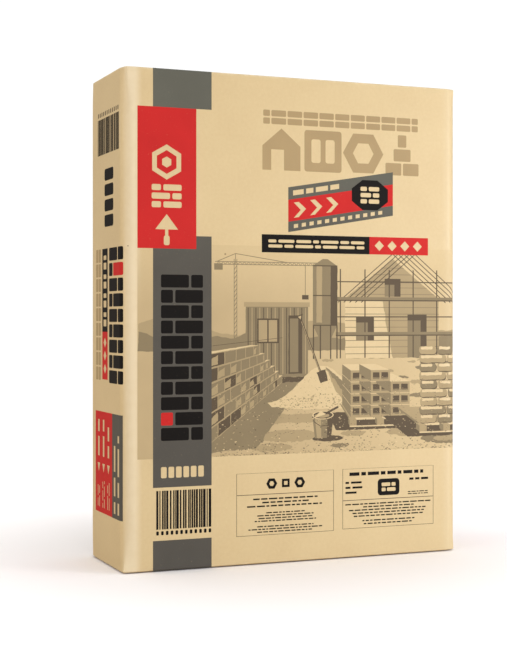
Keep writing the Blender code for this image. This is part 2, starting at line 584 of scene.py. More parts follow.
@dataclass
class Layout:
    """Places shapes on one side of the sack.

    Across a side, 0 is the virtual sharp edge at its left as seen from outside. The heights are those
    of the standing bag. The pages are drawn 0.3% too large, so each shape is scaled by fit about the
    point drawn, which lands on the point landed.
    """

    art: Artwork
    side: Side
    fit: float = 0.997
    drawn: Point = (144.0, 270.0)
    landed: Point = (144.0, 269.3)
    bar_widths: tuple[int, ...] = (2, 3, 4, 5)
    gap_widths: tuple[int, ...] = (1, 1, 2, 3)

    def put(self, ink: Ink, outline: Outline) -> None:
        """Adds one shape in the side's own millimetres.

        Args:
            ink: Its ink.
            outline: Its outline.
        """
        form = self.art.form
        shift = (form.start(self.side) - form.corner) / MM
        if self.side is Side.LEFT:
            shift -= form.girth / MM
        x0, y0 = self.drawn
        left, low = self.landed
        placed = [(left + (x - x0) * self.fit, low + (y - y0) * self.fit) for x, y in outline]
        self.art.marks.append((ink, moved(placed, (shift, 0.0))))

    def bricks(
        self, ink: Ink, box: Sequence[float], rows: int, lengths: Sequence[float], joint: float,
        accent: Optional[tuple[int, int]] = None,
    ) -> None:
        """Fills a box with a running bond of small bricks.

        Args:
            ink: Their ink.
            box: Left, bottom, right and top.
            rows: The number of courses.
            lengths: Brick lengths as shares of the box's width, turned round in every other course.
            joint: The bare gap between bricks.
            accent: Course and place of the one brick that is red.
        """
        left, bottom, right, top = box
        height = (top - bottom + joint) / rows
        for row in range(rows):
            shares = lengths if row % 2 == 0 else lengths[::-1]
            x = left
            for i, share in enumerate(shares):
                end = x + share * (right - left + joint)
                y = bottom + row * height
                colour = Ink.RED if accent == (row, i) else ink
                self.put(colour, rounded(x, y, end - joint, y + height - joint, joint * 0.6, 2))
                x = end

    def bars(self, box: Sequence[float], count: int, seed: int) -> None:
        """Fills a box with upright bars of uneven width.

        Args:
            box: Left, bottom, right and top.
            count: The number of bars.
            seed: Picks the widths.
        """
        left, bottom, right, top = box
        dice = random.Random(seed)
        choices = (self.bar_widths, self.gap_widths)
        widths = [dice.choice(choices[i % 2]) for i in range(2 * count - 1)]
        unit = (right - left) / sum(widths)
        x = left
        for i, width in enumerate(widths):
            if i % 2 == 0:
                self.put(Ink.BLACK, rectangle(x, bottom, x + width * unit, top))
            x += width * unit

    def frame(self, box: Sequence[float], line: float, divider: Optional[float] = None) -> None:
        """Draws a thin line round a box, and one across it.

        Args:
            box: Left, bottom, right and top.
            line: The line's width.
            divider: The height of the line across, if there is one.
        """
        left, bottom, right, top = box
        self.put(Ink.DARK, rectangle(left, bottom, right, top))
        edges = [bottom, top] if divider is None else [bottom, divider, top]
        for low, high in zip(edges, edges[1:]):
            self.put(Ink.PAPER, rectangle(left + line, low + line, right - line, high - line / 2))

    def dashes(
        self, ink: Ink, box: Sequence[float], rows: int, weight: float, seed: int,
        centred: bool = False, upright: bool = False,
    ) -> None:
        """Fills a box with rows of short dashes that stand for small print.

        Args:
            ink: Their ink.
            box: Left, bottom, right and top.
            rows: The number of rows.
            weight: The height of a dash as a share of the row.
            seed: Picks the lengths.
            centred: True if rows differ in length about the middle.
            upright: True if the rows run up the side.
        """
        left, bottom, right, top = box
        dice = random.Random(seed)
        run, rise = (top - bottom, right - left) if upright else (right - left, top - bottom)
        pitch = rise / rows
        for row in range(rows):
            span = run * (dice.uniform(0.55, 1.0) if centred else dice.uniform(0.8, 1.0))
            x = (run - span) / 2 if centred else 0.0
            end = x + span
            y = row * pitch + pitch * (1 - weight) / 2
            while x < end - pitch * 0.5:
                word = min(end - x, pitch * dice.uniform(0.7, 2.6))
                if upright:
                    shape = rectangle(left + y, bottom + x, left + y + pitch * weight, bottom + x + word)
                else:
                    shape = rectangle(left + x, bottom + y, left + x + word, bottom + y + pitch * weight)
                self.put(ink, shape)
                x += word + pitch * 0.45


@dataclass(frozen=True)
class Vista:
    """Draws simple things in perspective, from metres of a made-up yard to millimetres of print."""

    centre: float = 200.0
    horizon: float = 258.0
    eye: float = 1.5
    scale: float = 274.0

    def spot(self, x: float, y: float, z: float) -> Point:
        """Where a point x to the right, y away and z above the ground lands on the print."""
        k = self.scale / y
        return self.centre + x * k, self.horizon + (z - self.eye) * k

    def face(self, corners: Sequence[tuple[float, float, float]]) -> Outline:
        """The outline of a flat face."""
        return [self.spot(*corner) for corner in corners]

    def upright(self, x0: float, x1: float, y: float, z0: float, z1: float) -> Outline:
        """A rectangle that faces the eye."""
        return self.face([(x0, y, z0), (x1, y, z0), (x1, y, z1), (x0, y, z1)])


@dataclass
class YardPicture:
    """The sepia picture: a made-up building yard with a block wall, sand, blocks and a house shell."""

    layout: Layout
    left: float = 15.6
    right: float = 407.0
    bottom: float = 121.0
    top: float = 352.0
    vista: Vista = Vista()
    dice: random.Random = field(default_factory=lambda: random.Random(11))
    rough_seed: int = 7

    def draw(self) -> None:
        """Draws the picture from the back to the front."""
        noise.seed_set(self.rough_seed)
        self.put(Ink.PALE, rectangle(self.left, self.bottom, self.right, self.top))
        self.hills()
        self.crane()
        self.house()
        self.silo()
        self.ground()
        self.hut()
        self.block_wall()
        self.sand_heap()
        self.block_stack()
        self.sack_stack()
        self.bucket()
        self.gravel()

    def put(self, ink: Ink, outline: Outline) -> None:
        """Adds a shape, kept inside the picture's frame.

        Args:
            ink: Its tone.
            outline: Its outline.
        """
        inside = clipped(outline, (self.left, self.bottom, self.right, self.top))
        if len(inside) > 2:
            self.layout.put(ink, inside)

    def spots(self, ink: Ink, box: Sequence[float], count: int, size: float, flat: float = 0.6) -> None:
        """Scatters small irregular spots over a box.

        Args:
            ink: Their tone.
            box: Left, bottom, right and top.
            count: The number of spots.
            size: Their mean half width.
            flat: Their height as a share of their width.
        """
        left, bottom, right, top = box
        for _ in range(count):
            centre = (self.dice.uniform(left, right), self.dice.uniform(bottom, top))
            r = size * self.dice.uniform(0.4, 1.2)
            self.put(ink, blob(centre, (r, r * flat), self.dice))

    def hills(self) -> None:
        """Two ranges of far hills."""
        for base, rise, wave, ink, seed in (
            (262, 20, 0.011, Ink.LIGHT, 1.0), (252, 11, 0.03, Ink.MID, 5.0),
        ):
            ridge = []
            x = self.right
            while x > self.left:
                ridge.append((x, base + rise * noise.noise(Vector((x * wave, seed, 0)))))
                x -= 3
            outline = [(self.left, 236), (self.right, 236)] + ridge
            self.put(ink, ragged(outline, 2.5, 1.3, seed))

    def crane(self) -> None:
        """A far tower crane, in thin lines."""
        mast, foot, tip, jib = 128.0, 250.0, 343.0, 331.0
        lines = [
            [(mast - 1.6, foot), (mast - 1.6, tip - 6)], [(mast + 1.6, foot), (mast + 1.6, tip - 6)],
            [(mast - 24, jib), (mast + 118, jib)], [(mast - 24, jib + 3), (mast + 108, jib + 3)],
            [(mast, tip), (mast - 22, jib + 3)], [(mast, tip), (mast + 62, jib + 3)],
            [(mast, tip), (mast, jib)], [(mast + 84, jib), (mast + 84, jib - 34)],
        ]
        for i in range(16):
            z = foot + 5 * i
            lines.append([(mast - 1.6, z), (mast + 1.6, z + 5)])
        for i in range(26):
            x = mast - 22 + 5 * i
            lines.append([(x, jib), (x + 2.5, jib + 3), (x + 5, jib)])
        for line in lines:
            self.put(Ink.MID, stroke(line, 0.8))
        self.put(Ink.MID, rectangle(mast - 25, jib - 6, mast - 15, jib + 1))
        self.put(Ink.DARK, rectangle(mast + 80, jib - 38, mast + 88, jib - 33))

    def house(self) -> None:
        """A house shell with its rafters and scaffold."""
        v, y = self.vista, 12.0
        x0, x1, eaves, ridge = 2.7, 8.0, 3.1, 5.1
        middle = (x0 + x1) / 2
        gable = v.face([(x0, y, 0), (x1, y, 0), (x1, y, eaves), (middle, y, ridge), (x0, y, eaves)])
        self.put(Ink.LIGHT, ragged(gable, 4, 0.5))
        lit = [(x0, y, 0.1), (middle, y, 0.1), (middle - 0.6, y, 3.0), (x0, y, 3.0)]
        self.put(Ink.PAPER, ragged(v.face(lit), 4, 1.6))
        for course in range(1, 15):
            z = course * 0.33
            inset = max(0.0, (z - eaves) / (ridge - eaves) * (x1 - x0) / 2)
            self.put(Ink.MID, v.upright(x0 + inset, x1 - inset, y, z, z + 0.03))
        for a, b, c, d in ((3.3, 4.3, 1.0, 2.2), (6.2, 7.3, 0.0, 2.3), (4.9, 5.8, 3.2, 4.1)):
            self.put(Ink.DARK, v.upright(a, b, y, c, d))
            self.put(Ink.MID, v.upright(a, b - 0.35, y, c, d - 0.3))
        for i in range(5):
            shift = i * 0.32
            left, right = (x0 - 0.4 + shift, y, eaves - 0.2), (x1 + 0.4 + shift, y, eaves - 0.2)
            peak = (middle + shift, y, ridge + 0.25)
            self.put(Ink.DARK, stroke(v.face([left, peak]), 1.0))
            self.put(Ink.DARK, stroke(v.face([peak, right]), 1.0))
        for i in range(6):
            x = x0 - 0.5 + i * 1.25
            self.put(Ink.DARK, v.upright(x, x + 0.06, y - 1, 0, 4.3))
        for z in (1.3, 2.9):
            self.put(Ink.MID, v.upright(x0 - 0.7, x1 + 0.2, y - 1, z, z + 0.13))
            self.put(Ink.DARK, v.upright(x0 - 0.7, x1 + 0.2, y - 1, z - 0.05, z))
            self.put(Ink.DARK, v.upright(x0 - 0.7, x1 + 0.2, y - 1, z + 0.8, z + 0.85))

    def silo(self) -> None:
        """A tall silo on four legs."""
        v, x, y, wide = self.vista, 1.2, 9.0, 0.5
        foot, low, high = 0.9, 1.7, 3.9
        self.put(Ink.MID, v.face([
            (x - wide, y, low), (x - 0.08, y, foot), (x + 0.08, y, foot), (x + wide, y, low),
            (x + wide, y, high), (x + 0.1, y, high + 0.25), (x - 0.1, y, high + 0.25), (x - wide, y, high),
        ]))
        self.put(Ink.LIGHT, ragged(v.upright(x - wide * 0.7, x - wide * 0.25, y, low + 0.1, high), 3, 0.5))
        self.put(Ink.DARK, ragged(v.upright(x + wide * 0.45, x + wide, y, low, high), 3, 0.5))
        for leg in (-0.5, -0.22, 0.2, 0.46):
            self.put(Ink.DARK, v.upright(x + leg, x + leg + 0.05, y, 0, low))
        for z in (low, (low + high) / 2, high):
            self.put(Ink.DARK, v.upright(x - wide, x + wide, y, z - 0.02, z + 0.02))

    def hut(self) -> None:
        """A ribbed site hut with a door and a window."""
        v, y, x0, x1, high = self.vista, 8.0, -1.75, 0.45, 2.4
        shade = [(x0, y, 0), (x1, y, 0), (x1 + 0.9, y - 0.9, 0), (x0, y - 0.9, 0)]
        self.put(Ink.DARK, ragged(v.face(shade), 3, 1.0))
        self.put(Ink.MID, ragged(v.upright(x0, x1, y, 0, high), 3, 0.4))
        for i in range(16):
            x = x0 + 0.07 + i * 0.135
            self.put(Ink.LIGHT if i % 2 else Ink.DARK, v.upright(x, x + 0.03, y, 0.1, high - 0.15))
        self.put(Ink.LIGHT, v.upright(x0 - 0.06, x1 + 0.06, y, high - 0.12, high + 0.03))
        self.put(Ink.DARK, ragged(v.upright(-0.25, 0.22, y, 0.1, 2.0), 3, 0.4))
        self.put(Ink.MID, v.upright(-0.2, 0.1, y, 0.15, 1.9))
        self.put(Ink.DARK, ragged(v.upright(-1.35, -0.6, y, 1.1, 1.9), 3, 0.4))
        for x in (-1.3, -0.95):
            self.put(Ink.LIGHT, v.upright(x, x + 0.3, y, 1.15, 1.85))

    def ground(self) -> None:
        """The yard's ground with soft patches that flatten towards the horizon."""
        near, far = 3.1, 13
        level = self.vista.spot(0, far, 0)[1]
        self.put(Ink.PALE, ragged(rectangle(self.left, self.bottom, self.right, level), 4, 1.5, 3.0))
        for i in range(64):
            y = near * (far / near) ** self.dice.random()
            x = self.dice.uniform(-0.42, 0.75) * y
            k = self.vista.scale / y
            wide = self.dice.uniform(0.12, 0.5) * k
            ink = (Ink.LIGHT, Ink.MID)[i % 2]
            patch = ellipse(self.vista.spot(x, y, 0), (wide, wide * 0.17 + 0.4), 18)
            self.put(ink, ragged(patch, 1.6, 1.5, i))

    def block_wall(self) -> None:
        """A block wall that runs away from the eye, with its far end stepped."""
        v, courses, height, joint = self.vista, 6, 0.2, 0.012
        near, far = Vector((-1.28, 3.15)), Vector((-0.42, 7.2))
        length = (far - near).length

        def at(share: float, z: float) -> tuple[float, float, float]:
            """A point of the wall's face."""
            spot = near.lerp(far, share)
            return spot.x, spot.y, z

        shade = [at(0, 0), at(1, 0), (0.25, 7.2, 0), (-0.55, 3.15, 0)]
        self.put(Ink.MID, ragged(v.face(shade), 2, 1.2, 9.0))
        for course in range(courses):
            end = 1.0 - 0.1 * course
            z = course * height
            self.put(Ink.LIGHT, v.face([at(0, z), at(end, z), at(end, z + height), at(0, z + height)]))
            step = 0.4 / length
            share = -step / 2 if course % 2 else 0.0
            while share < end - 0.01:
                a, b = max(share, 0.0) + 0.003, min(share + step, end) - 0.003
                low, high = z + joint, z + height - joint
                corners = v.face([at(a, low), at(b, low), at(b, high), at(a, high)])
                tone = Ink.DARK if self.dice.random() < 0.22 else Ink.MID
                self.put(tone, ragged(corners, 2.2, 0.35, course))
                if self.dice.random() < 0.5:
                    mid = (a + b) / 2
                    patch = v.face([at(a, z + 0.03), at(mid, z + 0.03), at(mid, z + 0.16), at(a, z + 0.12)])
                    self.put(Ink.LIGHT, ragged(patch, 1.5, 0.9, share + course))
                share += step
            x, y, _ = at(end, 0)
            cap = [at(end - 0.1, z + height), at(end, z + height), (x - 0.1, y, z + height)]
            self.put(Ink.PAPER, v.face(cap))
        top = courses * height
        end = 1.0 - 0.1 * (courses - 1)
        x, y, _ = at(end, 0)
        cap = [at(0, top), at(end, top), (x - 0.18, y, top), (near.x - 0.2, near.y, top)]
        self.put(Ink.PAPER, ragged(v.face(cap), 3, 0.4))
        self.put(Ink.DARK, stroke(v.face([at(0, top + 0.1), at(1, top + 0.1)]), 0.5))

    def sand_heap(self) -> None:
        """A heap of sand with a shovel standing in it."""
        v, x, y, wide, high = self.vista, 0.62, 5.1, 1.25, 0.8
        crest = []
        for i in range(41):
            off = wide * (1 - i / 20)
            rise = high * math.exp(-((off / wide * 1.75) ** 2)) - 0.03
            crest.append(v.spot(x + off, y, max(rise, 0)))
        bends = (2.6, 1.9, 1.2, 0.5)
        apron = [v.spot(x + wide * 1.05 * math.cos(a), y - 0.45 * math.sin(a), 0) for a in bends]
        self.put(Ink.PAPER, ragged(crest + apron, 1.8, 1.0, 4.0))
        k = v.scale / y
        for share, ink, push in ((0.62, Ink.LIGHT, 0.30), (0.40, Ink.MID, 0.52)):
            slope = v.face([
                (x + 0.06, y, high * 0.93), (x + wide * 0.5, y, high * 0.42), (x + wide, y, 0.0),
                (x + wide * push + 0.3 * (1 - share), y - 0.2, 0.02),
                (x + wide * push * 0.8, y, high * share * 0.5),
            ])
            self.put(ink, ragged(slope, 1.6, 1.3, share))
        base = v.spot(x, y, 0)
        self.spots(Ink.LIGHT, (base[0] - k, base[1] - 6, base[0] + k, base[1] + 9), 150, 1.1)
        self.spots(Ink.MID, (base[0] - k, base[1] - 8, base[0] + k, base[1] + 5), 90, 0.8)
        foot, grip = v.spot(x - 0.05, y - 0.2, 0.62), v.spot(x - 0.5, y - 0.4, 1.7)
        self.put(Ink.DARK, stroke([foot, grip], 2.3))
        self.put(Ink.LIGHT, stroke([(foot[0] - 0.3, foot[1]), (grip[0] - 0.3, grip[1])], 0.7))
        self.put(Ink.DARK, regular((grip[0] - 1.6, grip[1] + 3.2), 5.4, 3, math.radians(-70)))
        self.put(Ink.PALE, regular((grip[0] - 1.6, grip[1] + 3.4), 2.5, 3, math.radians(-70)))
        blade = moved([(-6, 2), (5, 6), (8, -7), (-1, -10)], foot)
        self.put(Ink.DARK, ragged(blade, 2.5, 0.8))

    def solid(self, box: Sequence[float], front: Ink, top: Ink, side: Ink) -> None:
        """Draws a box that stands to the right of the eye.

        Args:
            box: Left, near, bottom, right, far and top, in metres.
            front: The tone that faces the eye.
            top: The tone on top.
            side: The tone of its left side.
        """
        x0, y0, z0, x1, y1, z1 = box
        v = self.vista
        self.put(side, v.face([(x0, y0, z0), (x0, y1, z0), (x0, y1, z1), (x0, y0, z1)]))
        self.put(top, v.face([(x0, y0, z1), (x1, y0, z1), (x1, y1, z1), (x0, y1, z1)]))
        self.put(front, v.upright(x0, x1, y0, z0, z1))

    def pallet(self, x0: float, x1: float, near: float, far: float) -> None:
        """Draws a timber pallet: boards over three dark gaps.

        Args:
            x0: Its left end, in metres.
            x1: Its right end.
            near: Its near edge.
            far: Its far edge.
        """
        v = self.vista
        shade = [(x0 - 0.25, near - 0.1, 0), (x1, near - 0.1, 0), (x1, far, 0), (x0 - 0.3, far, 0)]
        self.put(Ink.DARK, ragged(v.face(shade), 2, 0.8))
        self.solid((x0, near, 0.11, x1, far, 0.145), Ink.PAPER, Ink.LIGHT, Ink.MID)
        for i in range(3):
            x = x0 + (x1 - x0 - 0.12) * i / 2
            self.solid((x, near, 0.02, x + 0.12, near + 0.1, 0.11), Ink.LIGHT, Ink.LIGHT, Ink.MID)
        self.put(Ink.PAPER, v.upright(x0, x1, near, 0, 0.022))

    def block_stack(self) -> None:
        """Hollow blocks on a pallet, with their cells towards the eye."""
        v, near, far = self.vista, 3.75, 4.45
        self.pallet(0.92, 2.0, near, far)
        for layer, count in enumerate((3, 3, 3, 2)):
            z = 0.15 + layer * 0.185
            for i in range(count):
                x = 0.94 + i * 0.35
                self.solid((x, near, z, x + 0.335, far, z + 0.175), Ink.LIGHT, Ink.PAPER, Ink.MID)
                for cell in (0.035, 0.185):
                    hole = v.upright(x + cell, x + cell + 0.115, near, z + 0.035, z + 0.14)
                    self.put(Ink.DARK, ragged(hole, 2.5, 0.3, x))
                    floor = v.upright(x + cell, x + cell + 0.115, near, z + 0.035, z + 0.06)
                    self.put(Ink.MID, ragged(floor, 2.5, 0.4, z))

    def sack_stack(self) -> None:
        """Plain filled sacks on a pallet, in crossed layers."""
        v, near = self.vista, 3.45
        self.pallet(1.98, 2.9, near, 4.2)
        for layer in range(9):
            z = 0.15 + layer * 0.125
            wide = 0.46 if layer % 2 else 0.3
            x = 1.97 + 0.02 * self.dice.random()
            while x < 2.75:
                a, c = v.spot(x, near, z), v.spot(x + wide - 0.012, near, z + 0.122)
                radius = (c[1] - a[1]) * 0.42
                body = rounded(a[0], a[1], c[0], c[1], radius, 3)
                self.put(Ink.DARK, ragged(moved(body, (0.4, -0.9)), 2.5, 0.5, x))
                self.put(Ink.LIGHT if self.dice.random() < 0.7 else Ink.MID, ragged(body, 2.5, 0.7, z))
                lit = rounded(a[0] + 2.5, (a[1] + c[1]) / 2 + 0.6, c[0] - 5, c[1] - 0.9, 1.0, 2)
                self.put(Ink.PAPER, ragged(lit, 2, 0.8, x + z))
                x += wide

    def bucket(self) -> None:
        """A bucket of mortar with a trowel across it."""
        v, x, y = self.vista, 0.42, 3.4
        k = v.scale / y
        rim, base = v.spot(x, y, 0.32), v.spot(x, y, 0.0)
        wide, narrow = 0.165 * k, 0.125 * k
        self.put(Ink.DARK, ragged(ellipse((base[0] + 6, base[1] - 0.5), (narrow * 1.9, 3.4), 20), 2, 0.6))

        def strip(start: float, end: float) -> Outline:
            """The part of the bucket's wall between two shares of its half width."""
            low = [(base[0] + narrow * share, base[1]) for share in (start, end)]
            return [(rim[0] + wide * start, rim[1]), *low, (rim[0] + wide * end, rim[1])]

        self.put(Ink.MID, strip(-1, 1))
        self.put(Ink.LIGHT, ragged(strip(-0.75, -0.2), 3, 0.4))
        self.put(Ink.DARK, ragged(strip(0.45, 1), 3, 0.4))
        self.put(Ink.PAPER, ellipse(rim, (wide, wide * 0.36), 28))
        self.put(Ink.DARK, ellipse(rim, (wide * 0.9, wide * 0.29), 28))
        mortar = ellipse((rim[0] - 1, rim[1] - 0.5), (wide * 0.7, wide * 0.18), 16)
        self.put(Ink.LIGHT, ragged(mortar, 2, 0.7))
        bends = (0.1, 0.6, 1.2, 1.8, 2.5, 3.05)
        handle = [(rim[0] + wide * math.cos(a), rim[1] - wide * 0.95 * math.sin(a)) for a in bends]
        self.put(Ink.DARK, stroke(handle, 0.8))
        self.put(Ink.DARK, stroke([(rim[0] + 2, rim[1] + 1), (rim[0] + 19, rim[1] + 9)], 2.4))
        self.put(Ink.PAPER, [(rim[0] + 4, rim[1] + 1), (rim[0] - 11, rim[1] - 3), (rim[0] - 3, rim[1] + 5)])

    def gravel(self) -> None:
        """Stones and grit, denser and larger near the lower edge."""
        stones = ((Ink.LIGHT, 500, 1.0), (Ink.MID, 620, 0.9), (Ink.DARK, 420, 0.75), (Ink.PAPER, 200, 0.9))
        for ink, count, size in stones:
            for _ in range(count):
                y = 3.0 + 5.0 * self.dice.random() ** 2.2
                centre = self.vista.spot(self.dice.uniform(-0.36, 0.75) * y, y, 0)
                r = size * 3.4 / y * self.dice.uniform(0.5, 1.5)
                self.put(ink, blob(centre, (r, r * 0.55), self.dice, 6))


@dataclass
class Print:
    """Everything printed on the sack."""

    form: SackForm

    def artwork(self) -> Artwork:
        """Lays out all four sides.

        Returns:
            The whole artwork.
        """
        art = Artwork(self.form)
        front = Layout(art, Side.FRONT)
        YardPicture(front).draw()
        self.stripe(front)
        self.headline(front)
        self.badge(front)
        self.boxes(front)
        self.narrow_side(Layout(art, Side.LEFT))
        self.narrow_side(Layout(art, Side.RIGHT))
        back = Layout(art, Side.BACK)
        self.stripe(back)
        self.headline(back)
        self.back_table(back)
        return art

    def stripe(self, page: Layout) -> None:
        """The grey stripe with the red block, the brick column and the bars.

        Args:
            page: The side that it is printed on.
        """
        low, high = -9.5, 549.5
        for bottom, top in ((low, 33), (90, 361), (499, high)):
            page.put(Ink.GREY, rectangle(33, bottom, 100, top))
        page.put(Ink.RED, rectangle(15.6, 347, 82.3, 499))
        self.tools(page)
        page.bricks(Ink.BLACK, (42, 140, 90, 319), 11, (0.68, 0.32), 2.6, accent=(1, 0))
        for i in range(6):
            page.put(Ink.PAPER, rounded(42 + i * 8.5, 100, 48.5 + i * 8.5, 112, 1.4, 3))
        page.bars((36.7, 45, 99.6, 86.5), 22, 5)
        for i in range(12):
            page.put(Ink.BLACK, rounded(36.7 + i * 5.45, 38.8, 39.6 + i * 5.45, 43.2, 0.9, 2))

    def tools(self, page: Layout) -> None:
        """Three bare signs in the red block: a paving stone, a brick bond and a trowel.

        Args:
            page: The side that it is printed on.
        """
        line = 5.4
        page.put(Ink.PAPER, regular((48.5, 440), 19.0, 6, math.radians(30)))
        page.put(Ink.RED, regular((48.5, 440), 19.0 - line * 1.15, 6, math.radians(30)))
        page.put(Ink.PAPER, regular((48.5, 440), 6.0, 6, math.radians(30)))
        page.bricks(Ink.PAPER, (31.5, 391, 65.5, 416), 3, (0.36, 0.64), 2.6)
        page.put(Ink.PAPER, [(48.5, 384), (61.5, 367.5), (35.5, 367.5)])
        page.put(Ink.PAPER, rounded(46.7, 359, 50.3, 370, 0.8, 2))
        page.put(Ink.PAPER, rounded(45.2, 350.5, 51.8, 361, 2.2, 4))

    def headline(self, page: Layout) -> None:
        """The tan frieze and the four large building signs under it.

        Args:
            page: The side that it is printed on.
        """
        page.bricks(Ink.TAN, (161, 487.5, 355, 503), 2, (0.05,) + (0.1,) * 9 + (0.05,), 1.8)
        low, high, line = 436.5, 483.0, 10.5
        page.put(Ink.TAN, [(160, low), (206, low), (206, low + 27), (183, high), (160, low + 27)])
        page.put(Ink.PAPER, rectangle(160 + line, low, 206 - line * 1.9, low + 23))
        page.put(Ink.TAN, rounded(211, low, 257, high, 3, 3))
        for x in (211 + 8.5, 211 + 8.5 + 17.5):
            page.put(Ink.PAPER, rounded(x, low + 10, x + 11.5, high - 10, 2.5, 3))
        page.put(Ink.TAN, regular((284.5, (low + high) / 2), 25.6, 6, 0))
        page.put(Ink.PAPER, regular((284.5, (low + high) / 2), 13.2, 6, 0))
        page.bricks(Ink.TAN, (313, low, 356, low + 14), 1, (0.5, 0.5), 2.2)
        page.bricks(Ink.TAN, (323.5, low + 16.2, 345.5, low + 30.2), 1, (1.0,), 2.2)
        page.put(Ink.TAN, rounded(329, low + 32.4, 340, high, 1.2, 2))

    def badge(self, page: Layout) -> None:
        """The slanted badge of three bands and the two bars below it.

        Args:
            page: The side that it is printed on.
        """
        left, right, rise = 191.2, 322.5, 22.0
        slope = rise / (right - left)
        for low, high, ink in ((368, 379.5, Ink.GREY), (379.5, 404, Ink.RED), (404, 418, Ink.GREY)):
            page.put(ink, [(left, low), (right, low + rise), (right, high + rise), (left, high)])

        def slanted(x: float, z: float, wide: float, tall: float) -> Outline:
            """A dash that follows the badge's slant."""
            base = z + (x - left) * slope
            end = base + wide * slope
            return [(x, base), (x + wide, end), (x + wide, end + tall), (x, base + tall)]

        for start, wide in ((197, 13), (213, 9), (225, 15), (243, 11)):
            page.put(Ink.PAPER, slanted(start, 408, wide, 5.6))
        for i in range(3):
            x = 198 + i * 20
            arrow = [(0, 0), (6, 1), (15, 10.5), (6, 18), (0, 17), (8.5, 9)]
            page.put(Ink.PAPER, moved(arrow, (x, 383 + (x - left) * slope)))
        for i in range(12):
            page.put(Ink.PAPER, slanted(198 + i * 9.6, 371.5, 5.2, 4.2))
        middle, stretch = 293, 1.35
        plate = regular((middle, 412.5), 18.5, 8, math.radians(22.5))
        page.put(Ink.BLACK, [(middle + (x - middle) * stretch, z) for x, z in plate])
        page.bricks(Ink.PAPER, (281, 403, 305, 422), 3, (0.4, 0.6), 2.2)
        page.put(Ink.BLACK, rectangle(159.2, 345, 292.4, 365))
        page.put(Ink.RED, rectangle(292.4, 345, 368.5, 365))
        page.bricks(Ink.PAPER, (167, 350.5, 286, 359.5), 2, (0.16, 0.11, 0.2, 0.08, 0.17, 0.18, 0.1), 2.2)
        for i in range(4):
            page.put(Ink.PAPER, regular((305 + i * 16.5, 355), 5.9, 4, 0))

    def boxes(self, page: Layout) -> None:
        """The two framed boxes of small print.

        Args:
            page: The side that it is printed on.
        """
        page.frame((129.1, 31.9, 247.3, 100.9), 0.45, 77)
        for shift, sides, turn in ((-17, 6, 0), (0, 4, math.pi / 4), (17, 6, 0)):
            centre = (188.2 + shift, 88.6)
            page.put(Ink.BLACK, regular(centre, 6.6, sides, turn))
            page.put(Ink.PAPER, regular(centre, 3.0, sides, turn))
        page.dashes(Ink.BLACK, (133, 34, 243, 43), 3, 0.42, 21, centred=True)
        page.dashes(Ink.BLACK, (150, 46, 226, 58), 4, 0.42, 22, centred=True)
        page.dashes(Ink.BLACK, (140, 62, 236, 74), 3, 0.4, 23, centred=True)
        page.frame((258.3, 32.9, 375.6, 100.9), 0.45, 65)
        page.dashes(Ink.BLACK, (267, 92, 368, 97.5), 1, 0.7, 24)
        page.dashes(Ink.BLACK, (262, 71, 284, 88), 3, 0.4, 25)
        page.dashes(Ink.BLACK, (344, 84, 372, 89), 1, 0.5, 26)
        page.dashes(Ink.BLACK, (342, 68, 372, 73), 2, 0.4, 27)
        page.put(Ink.BLACK, rounded(303, 69, 331, 88, 4, 4))
        page.bricks(Ink.PAPER, (308, 73.5, 326, 83.5), 2, (0.35, 0.65), 1.6)
        page.dashes(Ink.BLACK, (264, 36, 370, 43), 2, 0.4, 28, centred=True)
        page.dashes(Ink.BLACK, (261, 45, 373, 62), 5, 0.4, 29, centred=True)

    def narrow_side(self, page: Layout) -> None:
        """A narrow side, with its layout turned to run down the bag.

        Args:
            page: The side that it is printed on.
        """
        depth = 132.4

        def across(v: float) -> float:
            """Turns a distance from the front edge into one from the side's left edge."""
            return depth - v

        page.bars((across(99), 454, across(17), 494), 22, 8)
        for i in range(12):
            x = across(98) + i * 6.9
            page.put(Ink.DARK, rounded(x, 496.5, x + 3.2, 501.5, 1.0, 2))
        for i in range(4):
            z = 424 - i * 17
            page.put(Ink.BLACK, rounded(across(72), z, across(38), z + 13, 3, 3))
        page.bricks(Ink.BLACK, (across(54), 201, across(8), 349), 9, (0.68, 0.32), 2.6, accent=(7, 1))
        page.put(Ink.BLACK, rectangle(across(81), 257, across(60), 349))
        page.put(Ink.RED, rectangle(across(81), 204, across(60), 257))
        for i in range(8):
            z = 263 + i * 10.5
            page.put(Ink.PAPER, rounded(across(76), z, across(65), z + (7.5, 5.0)[i % 2], 0.8, 2))
        for i in range(3):
            page.put(Ink.PAPER, regular((across(70.5), 216 + i * 14.5), 5.6, 4, 0))
        page.bricks(Ink.TAN, (across(106), 203, across(87), 349), 9, (0.5, 0.5), 1.8)
        page.put(Ink.GREY, rectangle(across(42.5), 55, across(8.5), 168))
        page.put(Ink.RED, rectangle(across(108), 55, across(42.5), 168))
        page.dashes(Ink.PAPER, (across(40), 60, across(12), 163), 2, 0.42, 31, upright=True)
        for i in range(3):
            v = 51 + i * 19
            page.dashes(Ink.PAPER, (across(v + 12), 118, across(v), 163), 1, 0.5, 32 + i, upright=True)
            page.put(Ink.PAPER, [(across(v + 11), 110), (across(v + 1), 110), (across(v + 6), 100)])
            page.dashes(Ink.PAPER, (across(v + 12), 61, across(v), 92), 2, 0.34, 36 + i, upright=True)

